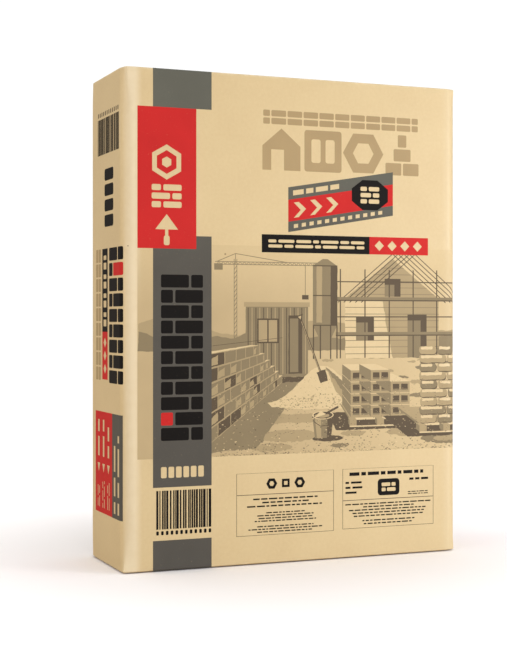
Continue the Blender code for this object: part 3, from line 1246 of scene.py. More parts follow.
    def back_table(self, page: Layout) -> None:
        """The back's table: four rows of signs and small print.

        Args:
            page: The side that it is printed on.
        """
        left, right = 140.0, 380.0
        for row in range(4):
            low = 62 + row * 76
            page.frame((left, low, right, low + 66), 0.5)
            page.put(Ink.RED if row % 2 else Ink.GREY, rectangle(left + 4, low + 4, left + 50, low + 62))
            centre = (left + 27, low + 33)
            if row % 2:
                page.put(Ink.PAPER, regular(centre, 17, 6, 0))
                page.put(Ink.RED, regular(centre, 9, 6, 0))
            else:
                x, z = centre
                page.bricks(Ink.PAPER, (x - 15, z - 14, x + 15, z + 14), 3, (0.36, 0.64), 2.6)
            page.dashes(Ink.BLACK, (left + 58, low + 50, right - 40, low + 60), 1, 0.6, 50 + row)
            page.dashes(Ink.BLACK, (left + 58, low + 8, right - 70, low + 44), 8, 0.36, 60 + row)
            for i in range(row + 1):
                bucket = [(0, 13), (1.6, 0), (8.4, 0), (10, 13)]
                page.put(Ink.BLACK, moved(bucket, (right - 56 + 13 * i, low + 10)))


# Shader nodes


class Graph:
    """Adds nodes to a tree and links them."""

    def __init__(self, tree: bpy.types.NodeTree) -> None:
        """Keeps the tree."""
        self.tree = tree

    def add(self, kind: str, inputs: Optional[dict] = None, **settings: object) -> bpy.types.Node:
        """Adds a node.

        Args:
            kind: The node's type.
            inputs: A socket or a value for each named or numbered input.
            settings: The node's own properties.

        Returns:
            The node.
        """
        node = self.tree.nodes.new(kind)
        for name, value in settings.items():
            setattr(node, name, value)
        for name, value in (inputs or {}).items():
            if isinstance(value, Socket):
                self.tree.links.new(value, node.inputs[name])
            else:
                node.inputs[name].default_value = value
        return node

    def math(self, operation: str, a: object, b: object = 0.0, clamp: bool = False) -> Socket:
        """The result of one sum."""
        return self.add("ShaderNodeMath", {0: a, 1: b}, operation=operation, use_clamp=clamp).outputs[0]

    def vector_math(self, operation: str, *vectors: object) -> Sockets:
        """The outputs of one sum with vectors."""
        return self.add("ShaderNodeVectorMath", dict(enumerate(vectors)), operation=operation).outputs

    def noise(
        self, vector: object, scale: float, detail: float, roughness: float, distortion: float = 0.0
    ) -> Socket:
        """A noise between 0 and 1."""
        values = {"Vector": vector, "Scale": scale, "Detail": detail, "Roughness": roughness}
        return self.add("ShaderNodeTexNoise", values | {"Distortion": distortion}).outputs["Fac"]

    def between(
        self, value: object, low: float, high: float, start: float = 0.0, end: float = 1.0
    ) -> Socket:
        """Maps value from low and high to start and end, smoothly and clamped."""
        values = {"Value": value, "From Min": low, "From Max": high, "To Min": start, "To Max": end}
        return self.add("ShaderNodeMapRange", values, interpolation_type="SMOOTHSTEP").outputs["Result"]

    def stretched(self, vector: object, scale: Sequence[float], turn: Sequence[float]) -> Socket:
        """A vector scaled and turned."""
        return self.add("ShaderNodeMapping", {"Vector": vector, "Scale": scale, "Rotation": turn}).outputs[0]

    def mix(self, factor: object, a: object, b: object, blend: str = "MIX") -> Socket:
        """Mixes two colours, with factor as the share of b."""
        inputs = {0: factor, 6: a, 7: b}
        return self.add("ShaderNodeMix", inputs, data_type="RGBA", blend_type=blend).outputs[2]


class Effect:
    """A shader node group that several materials share. It is built once."""

    name = ""
    inputs: tuple[tuple[str, str, object], ...] = ()
    outputs: tuple[tuple[str, str], ...] = ()

    def __init__(self) -> None:
        """Makes the group with its sockets and fills it."""
        self.tree = bpy.data.node_groups.new(self.name, "ShaderNodeTree")
        for name, kind, value in self.inputs:
            socket = self.tree.interface.new_socket(name, in_out="INPUT", socket_type=kind)
            if value is not None:
                socket.default_value = value
        for name, kind in self.outputs:
            self.tree.interface.new_socket(name, in_out="OUTPUT", socket_type=kind)
        graph = Graph(self.tree)
        made = self.build(graph, graph.add("NodeGroupInput").outputs)
        graph.add("NodeGroupOutput", made)

    def build(self, graph: Graph, given: Sockets) -> dict:
        """Fills the group and returns a socket for each output."""
        raise NotImplementedError

    def use(self, graph: Graph, inputs: dict) -> Sockets:
        """Places the group in a material's graph and returns its outputs."""
        return graph.add("ShaderNodeGroup", inputs, node_tree=self.tree).outputs


class PaperGrain(Effect):
    """Kraft paper: clouds, fine mottle, fibres and specks, with the height of each."""

    name = "paper_grain"
    inputs = (
        ("Vector", "NodeSocketVector", None),
        ("Fibres", "NodeSocketFloat", 1.0),
        ("Specks", "NodeSocketFloat", 1.0),
    )
    outputs = (
        ("Tone", "NodeSocketFloat"),
        ("Dark Specks", "NodeSocketFloat"),
        ("Height", "NodeSocketFloat"),
    )

    def build(self, graph: Graph, given: Sockets) -> dict:
        """Fills the group.

        Args:
            graph: The group's graph.
            given: The group's inputs.

        Returns:
            A socket for each output.
        """
        vector = given["Vector"]
        cloud = graph.noise(vector, 14.0, 3.0, 0.55)
        mottle = graph.noise(vector, 260.0, 4.0, 0.62)
        along = graph.stretched(vector, (900, 900, 130), (0.0, 0.5, 0.0))
        across = graph.stretched(vector, (170, 170, 1100), (0.0, -0.35, 0.0))
        long_fibres = graph.between(graph.noise(along, 1.0, 3.0, 0.6, 1.2), 0.60, 0.74)
        cross_fibres = graph.between(graph.noise(across, 1.0, 3.0, 0.6, 1.4), 0.62, 0.76)
        ridges = graph.math("ADD", long_fibres, cross_fibres)
        fibres = graph.math("MULTIPLY", ridges, given["Fibres"])
        cells = graph.add("ShaderNodeTexVoronoi", {"Vector": vector, "Scale": 46.0, "Randomness": 1.0})
        size = graph.add("ShaderNodeSeparateColor", {0: cells.outputs["Color"]}).outputs
        reach = graph.math("MULTIPLY", graph.math("POWER", size[0], 5.0), 0.055)
        spots = graph.between(graph.math("SUBTRACT", cells.outputs["Distance"], reach), 0.004, -0.006)
        specks = graph.math("MULTIPLY", graph.math("MULTIPLY", spots, given["Specks"]), 0.9)
        tone = graph.math("ADD", graph.math("MULTIPLY", graph.math("SUBTRACT", cloud, 0.5), 0.12), 0.52)
        tone = graph.math("ADD", tone, graph.math("MULTIPLY", graph.math("SUBTRACT", mottle, 0.5), 0.10))
        tone = graph.math("ADD", tone, graph.math("MULTIPLY", fibres, 0.05))
        height = graph.math("ADD", graph.math("MULTIPLY", mottle, 0.5), graph.math("MULTIPLY", fibres, 0.35))
        return {"Tone": tone, "Dark Specks": specks, "Height": height}


class FoldWearAndHighlight(Effect):
    """A mask of the upright corners and of the creases of a box-shaped sack. The corners' share is partly
    wear and partly a painted highlight on the broad side next to each corner; the creases' share is wear.
    """

    name = "fold_wear_and_highlight"
    inputs = (
        ("Vector", "NodeSocketVector", None),
        ("Half Size", "NodeSocketVector", (0.2, 0.065, 0.27)),
        ("Corner", "NodeSocketFloat", 0.014),
    )
    outputs = (("Corners", "NodeSocketFloat"), ("Creases", "NodeSocketFloat"))

    def build(self, graph: Graph, given: Sockets) -> dict:
        """Fills the group.

        Args:
            graph: The group's graph.
            given: The group's inputs.

        Returns:
            A socket for each output.
        """
        reach = graph.vector_math("ABSOLUTE", given["Vector"])[0]
        inside = graph.vector_math("SUBTRACT", given["Half Size"], reach)[0]
        gaps = graph.add("ShaderNodeSeparateXYZ", {0: inside}).outputs
        patchy_share = graph.noise(given["Vector"], 90.0, 4.0, 0.6)
        corner_patchiness = graph.between(patchy_share, 0.3, 0.7, 0.85, 1.05)
        near_x = graph.math("DIVIDE", gaps[0], given["Corner"])
        near_y = graph.math("DIVIDE", gaps[1], given["Corner"])
        farthest = graph.math("MAXIMUM", near_x, near_y)
        nearest = graph.math("MINIMUM", near_x, near_y)
        # Painted highlight: the corner mask lies on the broad side next to each upright corner, where the
        # rounded edge catches the light; it also stands for wear there.
        on_broad_side = graph.between(graph.math("SUBTRACT", near_x, near_y), -0.5, 0.45)
        wear_and_highlight = graph.math("MULTIPLY", on_broad_side, corner_patchiness)
        corners = graph.math("MULTIPLY", graph.between(farthest, 1.6, 0.85), wear_and_highlight)
        near_crease = graph.between(gaps[2], 0.0030, 0.0008)
        rim = graph.math("MULTIPLY", near_crease, graph.between(nearest, 0.25, 0.08))
        creases = graph.math("MULTIPLY", rim, graph.between(patchy_share, 0.35, 0.62))
        return {"Corners": corners, "Creases": creases}


class FlapEdgeShade(Effect):
    """A mask of painted shade along the edges of the folded flaps under a pasted sheet, and over the tucks,
    where the sheet dips.
    """

    name = "flap_edge_shade"
    inputs = (
        ("Vector", "NodeSocketVector", None),
        ("Half Strip", "NodeSocketFloat", 0.010),
        ("Tuck Start", "NodeSocketFloat", 0.138),
        ("Half Line", "NodeSocketFloat", 0.0006),
    )
    outputs = (("Lines", "NodeSocketFloat"), ("Tuck", "NodeSocketFloat"))

    def build(self, graph: Graph, given: Sockets) -> dict:
        """Fills the group.

        Args:
            graph: The group's graph.
            given: The group's inputs.

        Returns:
            A socket for each output.
        """
        reach = graph.vector_math("ABSOLUTE", given["Vector"])[0]
        gaps = graph.add("ShaderNodeSeparateXYZ", {0: reach}).outputs
        past_tuck = graph.math("SUBTRACT", graph.math("SUBTRACT", gaps[0], given["Tuck Start"]), gaps[1])
        strip = graph.math("ABSOLUTE", graph.math("SUBTRACT", gaps[1], given["Half Strip"]))
        strip = graph.math("MAXIMUM", strip, graph.math("MULTIPLY", past_tuck, 4.0))
        tuck = graph.math("MULTIPLY", graph.math("ABSOLUTE", past_tuck), 0.7)
        nearest = graph.math("DIVIDE", graph.math("MINIMUM", strip, tuck), given["Half Line"])
        patchy_share = graph.between(graph.noise(given["Vector"], 120.0, 3.0, 0.6), 0.3, 0.6, 0.45, 1.0)
        lines = graph.math("MULTIPLY", graph.between(nearest, 1.0, 0.3), patchy_share)
        return {"Lines": lines, "Tuck": graph.between(past_tuck, 0.0, 0.004)}


class InkMottle(Effect):
    """How evenly an ink covers the paper, with pinholes and a slight cloud."""

    name = "ink_mottle"
    inputs = (
        ("Vector", "NodeSocketVector", None),
        ("Pinholes", "NodeSocketFloat", 0.5),
    )
    outputs = (("Cover", "NodeSocketFloat"), ("Tone", "NodeSocketFloat"))

    def build(self, graph: Graph, given: Sockets) -> dict:
        """Fills the group.

        Args:
            graph: The group's graph.
            given: The group's inputs.

        Returns:
            A socket for each output.
        """
        fine = graph.noise(given["Vector"], 620.0, 3.0, 0.7)
        cloud = graph.noise(given["Vector"], 22.0, 3.0, 0.5)
        holes = graph.math("MULTIPLY", graph.between(fine, 0.66, 0.8), given["Pinholes"])
        tone = graph.math("ADD", graph.math("MULTIPLY", graph.math("SUBTRACT", cloud, 0.5), 0.22), 1.0)
        return {"Cover": graph.math("SUBTRACT", 1.0, holes, clamp=True), "Tone": tone}


@dataclass
class Effects:
    """The shared shader groups of one scene."""

    grain: PaperGrain = field(default_factory=PaperGrain)
    wear_and_highlight_masks: FoldWearAndHighlight = field(default_factory=FoldWearAndHighlight)
    flaps: FlapEdgeShade = field(default_factory=FlapEdgeShade)
    mottle: InkMottle = field(default_factory=InkMottle)


def new_material(name: str) -> tuple[Material, Graph, bpy.types.Node]:
    """Makes an empty Principled material.

    Args:
        name: Its name.

    Returns:
        The material, its graph and its Principled shader.
    """
    material = bpy.data.materials.new(name)
    material.use_nodes = True
    return material, Graph(material.node_tree), material.node_tree.nodes["Principled BSDF"]


def surface(
    graph: Graph, shader: bpy.types.Node, colour: Socket, height: Socket, strength: float, relief: float
) -> None:
    """Gives a Principled shader its colour and its relief.

    Args:
        graph: The material's graph.
        shader: The Principled shader.
        colour: The colour over the surface.
        height: The relief over the surface.
        strength: The bump's strength.
        relief: The height that a change of 1 stands for.
    """
    bump = graph.add("ShaderNodeBump", {"Strength": strength, "Distance": relief, "Height": height})
    graph.tree.links.new(colour, shader.inputs["Base Color"])
    graph.tree.links.new(bump.outputs[0], shader.inputs["Normal"])


@dataclass(frozen=True)
class KraftFinish:
    """Bare kraft paper. Its upright corners are painted paler, partly as wear and partly as a painted
    highlight next to each corner; its creases are paler with wear; and a pasted sheet can carry painted
    shade along the flap edges and over the tucks.
    """

    name: str = "kraft_paper"
    base: Colour = (0.722, 0.592, 0.344)
    deep: Colour = (0.60, 0.455, 0.245)
    # Paler paper: wear on the creases and upright corners, and on the corners also a painted highlight.
    wear_and_highlight: Colour = (0.80, 0.695, 0.485)
    speck: Colour = (0.20, 0.12, 0.05)
    # Painted shade along the edges of the flaps under a pasted sheet.
    fold: Colour = (0.38, 0.26, 0.125)
    roughness: float = 0.45
    specular: float = 0.5
    corner_wear_and_highlight: float = 1.0
    bump: float = 0.2
    relief: float = 0.0004
    # How strong the painted shade along the flap edges and over the tucks is; 0 leaves it out.
    flap_edge_shade: float = 0.0
    half_strip: float = 0.0105

    def colour(self, graph: Graph, effects: Effects, form: SackForm) -> tuple[Socket, Socket]:
        """Adds the paper's colour to a graph.

        Args:
            graph: The material's graph.
            effects: The shared groups.
            form: The sack, for the place of its corners.

        Returns:
            The colour and the height.
        """
        vector = graph.add("ShaderNodeTexCoord").outputs["Object"]
        grain = effects.grain.use(graph, {"Vector": vector, "Fibres": 1.0, "Specks": 1.0})
        middle = (0.0, (form.front + form.back) / 2, (form.bottom + form.top) / 2)
        half = (form.half_width, (form.back - form.front) / 2, (form.top - form.bottom) / 2)
        centred = graph.vector_math("SUBTRACT", vector, middle)[0]
        wear_and_highlight_masks = effects.wear_and_highlight_masks.use(graph, {"Vector": centred, "Half Size": half, "Corner": form.corner})
        colour = graph.mix(graph.between(grain["Tone"], 0.36, 0.62), (*self.deep, 1), (*self.base, 1))
        place = graph.add("ShaderNodeSeparateXYZ", {0: vector}).outputs
        # Painted highlight and wear on the upright corners: full strength at the left of the bag, a quarter
        # of it at the right.
        highlight_side_share = graph.between(place[0], -0.1, 0.1, self.corner_wear_and_highlight, self.corner_wear_and_highlight * 0.25)
        share = graph.math("MULTIPLY", wear_and_highlight_masks["Corners"], highlight_side_share, clamp=True)
        patchy_share = graph.math("MAXIMUM", share, graph.math("MULTIPLY", wear_and_highlight_masks["Creases"], 0.5))
        colour = graph.mix(patchy_share, colour, (*self.wear_and_highlight, 1))
        if self.flap_edge_shade > 0:
            tuck_start = form.half_width - (form.back - form.front) / 2
            places = {"Vector": centred, "Half Strip": self.half_strip, "Tuck Start": tuck_start}
            flaps = effects.flaps.use(graph, places)
            # Painted shade: darker over the tucks, where the sheet dips, and darker lines along the flap
            # edges under the sheet.
            tuck = graph.math("MULTIPLY", flaps["Tuck"], self.flap_edge_shade * 0.3)
            lines = graph.math("MULTIPLY", flaps["Lines"], self.flap_edge_shade)
            colour = graph.mix(tuck, colour, (*self.deep, 1))
            colour = graph.mix(lines, colour, (*self.fold, 1))
        colour = graph.mix(grain["Dark Specks"], colour, (*self.speck, 1))
        return colour, grain["Height"]

    def make(self, effects: Effects, form: SackForm) -> Material:
        """Builds the material.

        Args:
            effects: The shared groups.
            form: The sack.

        Returns:
            The material.
        """
        material, graph, shader = new_material(self.name)
        colour, height = self.colour(graph, effects, form)
        surface(graph, shader, colour, height, self.bump, self.relief)
        shader.inputs["Roughness"].default_value = self.roughness
        shader.inputs["Specular IOR Level"].default_value = self.specular
        return material


@dataclass(frozen=True)
class InkFinish:
    """One ink on kraft paper."""

    ink: Ink
    slot: str
    colour: Colour
    pinholes: float = 0.35
    roughness: float = 0.55
    specular: float = 0.15
    smoothing: float = 0.6
    fades: bool = False
    # A painted sheen: the lighter colour that the ink turns to towards the top of the bag, between the two
    # heights after it.
    top_sheen: Optional[Colour] = None
    top_sheen_from: Point = (0.30, 0.47)

    def make(self, kraft: KraftFinish, effects: Effects, form: SackForm) -> Material:
        """Builds the material over the kraft's own pattern.

        Args:
            kraft: The paper under the ink.
            effects: The shared groups.
            form: The sack.

        Returns:
            The material.
        """
        material, graph, shader = new_material(f"{self.ink.value}_ink")
        paper, height = kraft.colour(graph, effects, form)
        vector = graph.add("ShaderNodeTexCoord").outputs["Object"]
        mottle = effects.mottle.use(graph, {"Vector": vector, "Pinholes": self.pinholes})
        laid = (*self.colour, 1)
        # Painted sheen: the ink is lighter towards the top.
        if self.top_sheen is not None:
            height_up = graph.add("ShaderNodeSeparateXYZ", {0: vector}).outputs[2]
            laid = graph.mix(graph.between(height_up, *self.top_sheen_from), laid, (*self.top_sheen, 1))
        toned = graph.mix(1.0, laid, mottle["Tone"], "MULTIPLY")
        grained = graph.mix(0.12, toned, paper, "MULTIPLY")
        cover = mottle["Cover"]
        if self.fades:
            place = graph.add("ShaderNodeSeparateXYZ", {0: vector}).outputs
            rising = graph.between(place[2], 0.27, 0.352, 1.0, 0.25)
            rightward = graph.between(place[0], -0.1, 0.18, 1.0, 0.35)
            cover = graph.math("MULTIPLY", cover, graph.math("MULTIPLY", rising, rightward))
        colour = graph.mix(cover, paper, grained)
        surface(graph, shader, colour, height, kraft.bump * self.smoothing, kraft.relief)
        shader.inputs["Roughness"].default_value = self.roughness
        shader.inputs["Specular IOR Level"].default_value = self.specular
        return material


@dataclass(frozen=True)
class CementFinish:
    """Grey powder."""

    colour: Colour = (0.27, 0.27, 0.25)
    pale: Colour = (0.36, 0.355, 0.33)
    bump: float = 0.5
    relief: float = 0.0006
    roughness: float = 0.95

    def make(self) -> Material:
        """Builds the material.

        Returns:
            The material.
        """
        material, graph, shader = new_material("cement_powder")
        vector = graph.add("ShaderNodeTexCoord").outputs["Object"]
        grains = graph.noise(vector, 900.0, 4.0, 0.7)
        clumps = graph.noise(vector, 60.0, 3.0, 0.6)
        colour = graph.mix(graph.math("MULTIPLY", grains, clumps), (*self.colour, 1), (*self.pale, 1))
        surface(graph, shader, colour, grains, self.bump, self.relief)
        shader.inputs["Roughness"].default_value = self.roughness
        return material


KRAFT = KraftFinish()
# The pasted sheets' paper, with painted shade along the flap edges and over the tucks.
PATCH_PAPER = KraftFinish("patch_paper", base=(0.66, 0.49, 0.275), corner_wear_and_highlight=0.0, flap_edge_shade=0.6)
SLEEVE_PAPER = KraftFinish(
    "sleeve_paper", base=(0.78, 0.66, 0.46), deep=(0.68, 0.55, 0.36), corner_wear_and_highlight=0.0
)
INKS = (
    # The grey ink carries a painted sheen towards the top.
    InkFinish(Ink.GREY, "grey_ink", (0.098, 0.096, 0.089), top_sheen=(0.129, 0.136, 0.119)),
    InkFinish(Ink.RED, "red_ink", (0.60, 0.023, 0.024), roughness=0.6),
    InkFinish(Ink.BLACK, "black_ink", (0.004, 0.003, 0.003), pinholes=0.12, roughness=0.6),
    InkFinish(Ink.TAN, "tan_ink", (0.43, 0.325, 0.175), specular=0.3),
    InkFinish(Ink.PALE, "sepia_ink", (0.54, 0.43, 0.25), specular=0.4, fades=True),
    InkFinish(Ink.LIGHT, "sepia_ink", (0.43, 0.345, 0.20), specular=0.3),
    InkFinish(Ink.MID, "sepia_ink", (0.265, 0.218, 0.133), specular=0.25),
    InkFinish(Ink.DARK, "sepia_ink", (0.115, 0.089, 0.060), specular=0.2),
)


# The bag's pieces


@dataclass
class InkPlates:
    """The print, as thin plates of ink that lie on the paper."""

    form: SackForm
    gap: float = 0.00002
    thickness: float = 0.00005

    def build(self, kraft: KraftFinish, effects: Effects) -> None:
        """Makes one plate for each ink on each side and dresses it.

        Args:
            kraft: The paper under the inks.
            effects: The shared groups.
        """
        finishes = {finish.ink: finish for finish in INKS}
        materials = {ink: finish.make(kraft, effects, self.form) for ink, finish in finishes.items()}
        for (side, ink), triangles in Print(self.form).artwork().split().items():
            piece = self.plate(f"{side.name.lower()}_{ink.value}_ink", triangles)
            finish_piece(piece, materials[ink])

    def plate(self, name: str, triangles: list[list[Point]]) -> Piece:
        """Wraps an ink's triangles onto the sack and gives them a thickness.

        Args:
            name: The piece's name.
            triangles: Corners on the web, in millimetres.

        Returns:
            The plate.
        """
        sheet = bmesh.new()
        layer = sheet.loops.layers.uv.new("OFBake")
        xs = [c[0] for t in triangles for c in t]
        ys = [c[1] for t in triangles for c in t]
        left, bottom = min(xs), min(ys)
        span = max(max(xs) - left, max(ys) - bottom)
        known = {}
        for triangle in triangles:
            corners = []
            for x, y in triangle:
                if (x, y) not in known:
                    known[x, y] = sheet.verts.new(self.form.place(x * MM, y * MM, self.gap))
                corners.append(known[x, y])
            face = sheet.faces.new(corners)
            for loop, (x, y) in zip(face.loops, triangle):
                loop[layer].uv = ((x - left) / span, (y - bottom) / span)
        mesh = bpy.data.meshes.new(name)
        sheet.to_mesh(mesh)
        sheet.free()
        piece = add_object(name, mesh)
        thicken(piece, self.thickness, 1.0)
        return piece


@dataclass
class PaperSack:
    """The kraft tube with its folded block ends and its back seam."""

    form: SackForm
    ply: float = 0.0004
    overlap: float = 0.020
    overrun: float = 0.002
    valve_drop: float = 0.0009
    pinch_reach: float = 0.024
    near_reach: float = 0.050
    pinch_rows: int = 16
    pinch_inset: float = 0.0032
    pinch: float = 0.95
    near_insets: tuple[Point, Point] = ((0.0003, 0.0003), (0.0035, 0.0005))
    smooth: float = math.radians(55)

    def build(self, kraft: KraftFinish, effects: Effects) -> Piece:
        """Models the sack and dresses it.

        Args:
            kraft: Its finish.
            effects: The shared groups.

        Returns:
            The sack.
        """
        form = self.form
        sack = add_box(
            "kraft_sack", (-form.half_width, form.front, form.bottom), (form.half_width, form.back, form.top)
        )
        half_height = (form.top - form.bottom) / 2
        bevel_edges(sack, lambda a, b: abs(a.z - b.z) > half_height, form.corner, form.corner_steps)
        bevel_edges(sack, lambda a, b: abs(a.z - b.z) < half_height, form.crease, form.crease_steps)
        for end in (-1, 1):
            combine(sack, self.overlap_strip(end), "UNION")
            for side in (-1, 1):
                combine(sack, self.tuck_cutter(end, side), "DIFFERENCE")
        bevel_edges(sack, self.is_valve_fold, self.ply * 2, 3)
        combine(sack, self.seam_strip(), "UNION")
        self.pinch_corners(sack)
        shade_rounds(sack, self.smooth)
        finish_piece(sack, kraft.make(effects, form), ["paper_sack"])
        return sack

    def pinch_corners(self, sack: Piece) -> None:
        """Makes the upright corners sharper towards both ends, where the end flaps are folded.

        Args:
            sack: The sack, with its corners rounded.
        """
        form = self.form
        activate(sack)
        bpy.ops.object.mode_set(mode="EDIT")
        for row in range(1, self.pinch_rows + 1):
            rise = form.crease + (self.near_reach - form.crease) * row / self.pinch_rows
            for height in (form.bottom + rise, form.top - rise):
                bpy.ops.mesh.select_all(action="SELECT")
                bpy.ops.mesh.bisect(plane_co=(0, 0, height), plane_no=(0, 0, 1))
        bpy.ops.object.mode_set(mode="OBJECT")
        middle = (form.front + form.back) / 2
        centre = Vector((form.half_width - form.corner, (form.back - form.front) / 2 - form.corner))
        rims = (Vector((form.corner, 0)), Vector((0, form.corner)))
        for vertex in sack.data.vertices:
            x, y, z = vertex.co
            near = x < 0 and y < middle
            length = self.near_reach if near else self.pinch_reach
            share = min(1.0, max(0.0, 1 - min(z - form.bottom, form.top - z) / length))
            share = self.pinch * (share ** 2 if near else share)
            off = Vector((abs(x), abs(y - middle))) - centre
            if share > 0 and min(off) > 0:
                inset = (self.pinch_inset, self.pinch_inset)
                if near:
                    inset = self.near_insets[z > (form.bottom + form.top) / 2]
                apex = Vector((form.corner, form.corner)) - Vector(inset)
                way = off.normalized()
                reach = min(rim.cross(apex - rim) / way.cross(apex - rim) for rim in rims)
                spot = centre + off * (1 + (reach / form.corner - 1) * share)
                vertex.co = (math.copysign(spot.x, x), middle + math.copysign(spot.y, y - middle), z)

    def is_valve_fold(self, a: Vector, b: Vector) -> bool:
        """Tells if an edge is the outer fold of the tuck under the valve.

        Args:
            a: One end of the edge.
            b: Its other end.

        Returns:
            True if it is.
        """
        level = self.form.top - self.ply - self.valve_drop
        outer = self.form.half_width - self.form.crease
        return all(abs(p.z - level) < 1e-5 and p.x > outer for p in (a, b))

    def overlap_strip(self, end: int) -> Piece:
        """Makes the strip where one long flap lies on the other.

        Args:
            end: -1 at the bottom and 1 at the top.

        Returns:
            The strip, a box.
        """
        form = self.form
        level = form.top if end > 0 else form.bottom
        reach = form.half_width - (form.back - form.front) / 2
        low, high = sorted((level - end * self.overrun, level + end * self.ply))
        middle = (form.front + form.back) / 2
        half = self.overlap / 2
        return add_box("overlap", (-reach, middle - half, low), (reach, middle + half, high))

    def tuck_cutter(self, end: int, side: int) -> Piece:
        """The triangle at a narrow side where the flaps leave the tuck bare.

        Args:
            end: -1 at the bottom and 1 at the top.
            side: -1 at the left and 1 at the right.

        Returns:
            The cutter, a three-sided prism.
        """
        form = self.form
        half_depth = (form.back - form.front) / 2
        level = form.top if end > 0 else form.bottom
        depth = self.ply + (self.valve_drop if (end, side) == (1, 1) else 0.0)
        apex, outer = form.half_width - half_depth, form.half_width + self.overrun
        radius = (outer - apex) * 2 / 3
        deselect_all()
        centre_x = side * (apex + radius)
        bpy.ops.mesh.primitive_cylinder_add(
            vertices=3, radius=1.0, depth=self.overrun + depth,
            location=(centre_x, (form.front + form.back) / 2, level + end * (self.overrun - depth) / 2),
            rotation=(0, 0, side * math.pi / 2),
            scale=((outer - apex) / 1.5 * 2 / math.sqrt(3), radius, 1.0),
        )
        bpy.ops.object.transform_apply(location=True, rotation=True, scale=True)
        return bpy.context.active_object

    def seam_strip(self) -> Piece:
        """Makes the raised strip down the back where the tube is pasted to itself.

        Returns:
            The strip, a box.
        """
        form = self.form
        margin = form.crease * 2
        return add_box(
            "seam",
            (form.seam_x - form.seam_width / 2, form.back - self.overrun, form.bottom + margin),
            (form.seam_x + form.seam_width / 2, form.back + form.seam_height, form.top - margin),
        )


@dataclass
class CoverPatch:
    """The sheet pasted over one folded end. It follows the flaps and tucks under it."""

    form: SackForm
    end: int
    node: str
    overlap: float = 0.020
    ramp: float = 0.0010
    corner: float = 0.004
    thickness: float = 0.00016
    relief: float = 0.00032
    rest: float = 0.00041

    @property
    def tuck_apex(self) -> float:
        """How far from the middle the flaps' edges meet."""
        return self.form.half_width - (self.form.back - self.form.front) / 2

    def height(self, x: float, y: float) -> float:
        """Finds how far the sheet's underside stands off the end.

        Args:
            x: The place across.
            y: The place in depth.

        Returns:
            The height, towards the outside.
        """
        y -= (self.form.front + self.form.back) / 2
        strip = min(1.0, max(0.0, (self.overlap / 2 + self.ramp - abs(y)) / self.ramp))
        tuck = min(1.0, max(0.0, (abs(x) - self.tuck_apex - abs(y)) / self.ramp))
        return self.rest + self.relief * (strip * (1 - tuck) - tuck * 0.8)

    def lines(self, low: Vector, high: Vector) -> list[Outline]:
        """The lines where the sheet bends.

        Args:
            low: The sheet's lowest corner.
            high: Its highest corner.

        Returns:
            One path for each line.
        """
        middle = (self.form.front + self.form.back) / 2
        paths = []
        for off in (self.overlap / 2, self.overlap / 2 + self.ramp):
            paths += [[(low.x, middle + sign * off), (high.x, middle + sign * off)] for sign in (-1, 1)]
        for side in (-1, 1):
            for start in (self.tuck_apex, self.tuck_apex + self.ramp):
                reach = high.x - start
                paths += [
                    [(side * start, middle), (side * high.x, middle + sign * reach)] for sign in (-1, 1)
                ]
        return paths

    def build(self, finish: KraftFinish, effects: Effects) -> Piece:
        """Models the patch and dresses it.

        Args:
            finish: Its finish.
            effects: The shared groups.

        Returns:
            The patch.
        """
        low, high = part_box(self.node)
        outline = rounded(low[0], low[1], high[0], high[1], self.corner)
        points = [Vector(p) for p in outline]
        edges = [(i, (i + 1) % len(outline)) for i in range(len(outline))]
        for path in self.lines(Vector(low), Vector(high)):
            edges.append((len(points), len(points) + 1))
            points += [Vector(p) for p in path]
        spots, _, faces, *_ = delaunay_2d_cdt(points, edges, [], 0, 1e-7, False)
        inside = covers(outline, numpy.array(spots)[numpy.array(faces)].mean(axis=1))
        level = self.form.top if self.end > 0 else self.form.bottom
        mesh = bpy.data.meshes.new(f"{self.node}_sheet")
        corners = [(p.x, p.y, level + self.end * self.height(p.x, p.y)) for p in spots]
        kept = [face[::self.end] for face, keep in zip(faces, inside) if keep]
        mesh.from_pydata(corners, [], kept)
        patch = add_object(mesh.name, mesh)
        thicken(patch, self.thickness, 1.0)
        shade_rounds(patch)
        finish_piece(patch, finish.make(effects, self.form), [self.node])
        return patch


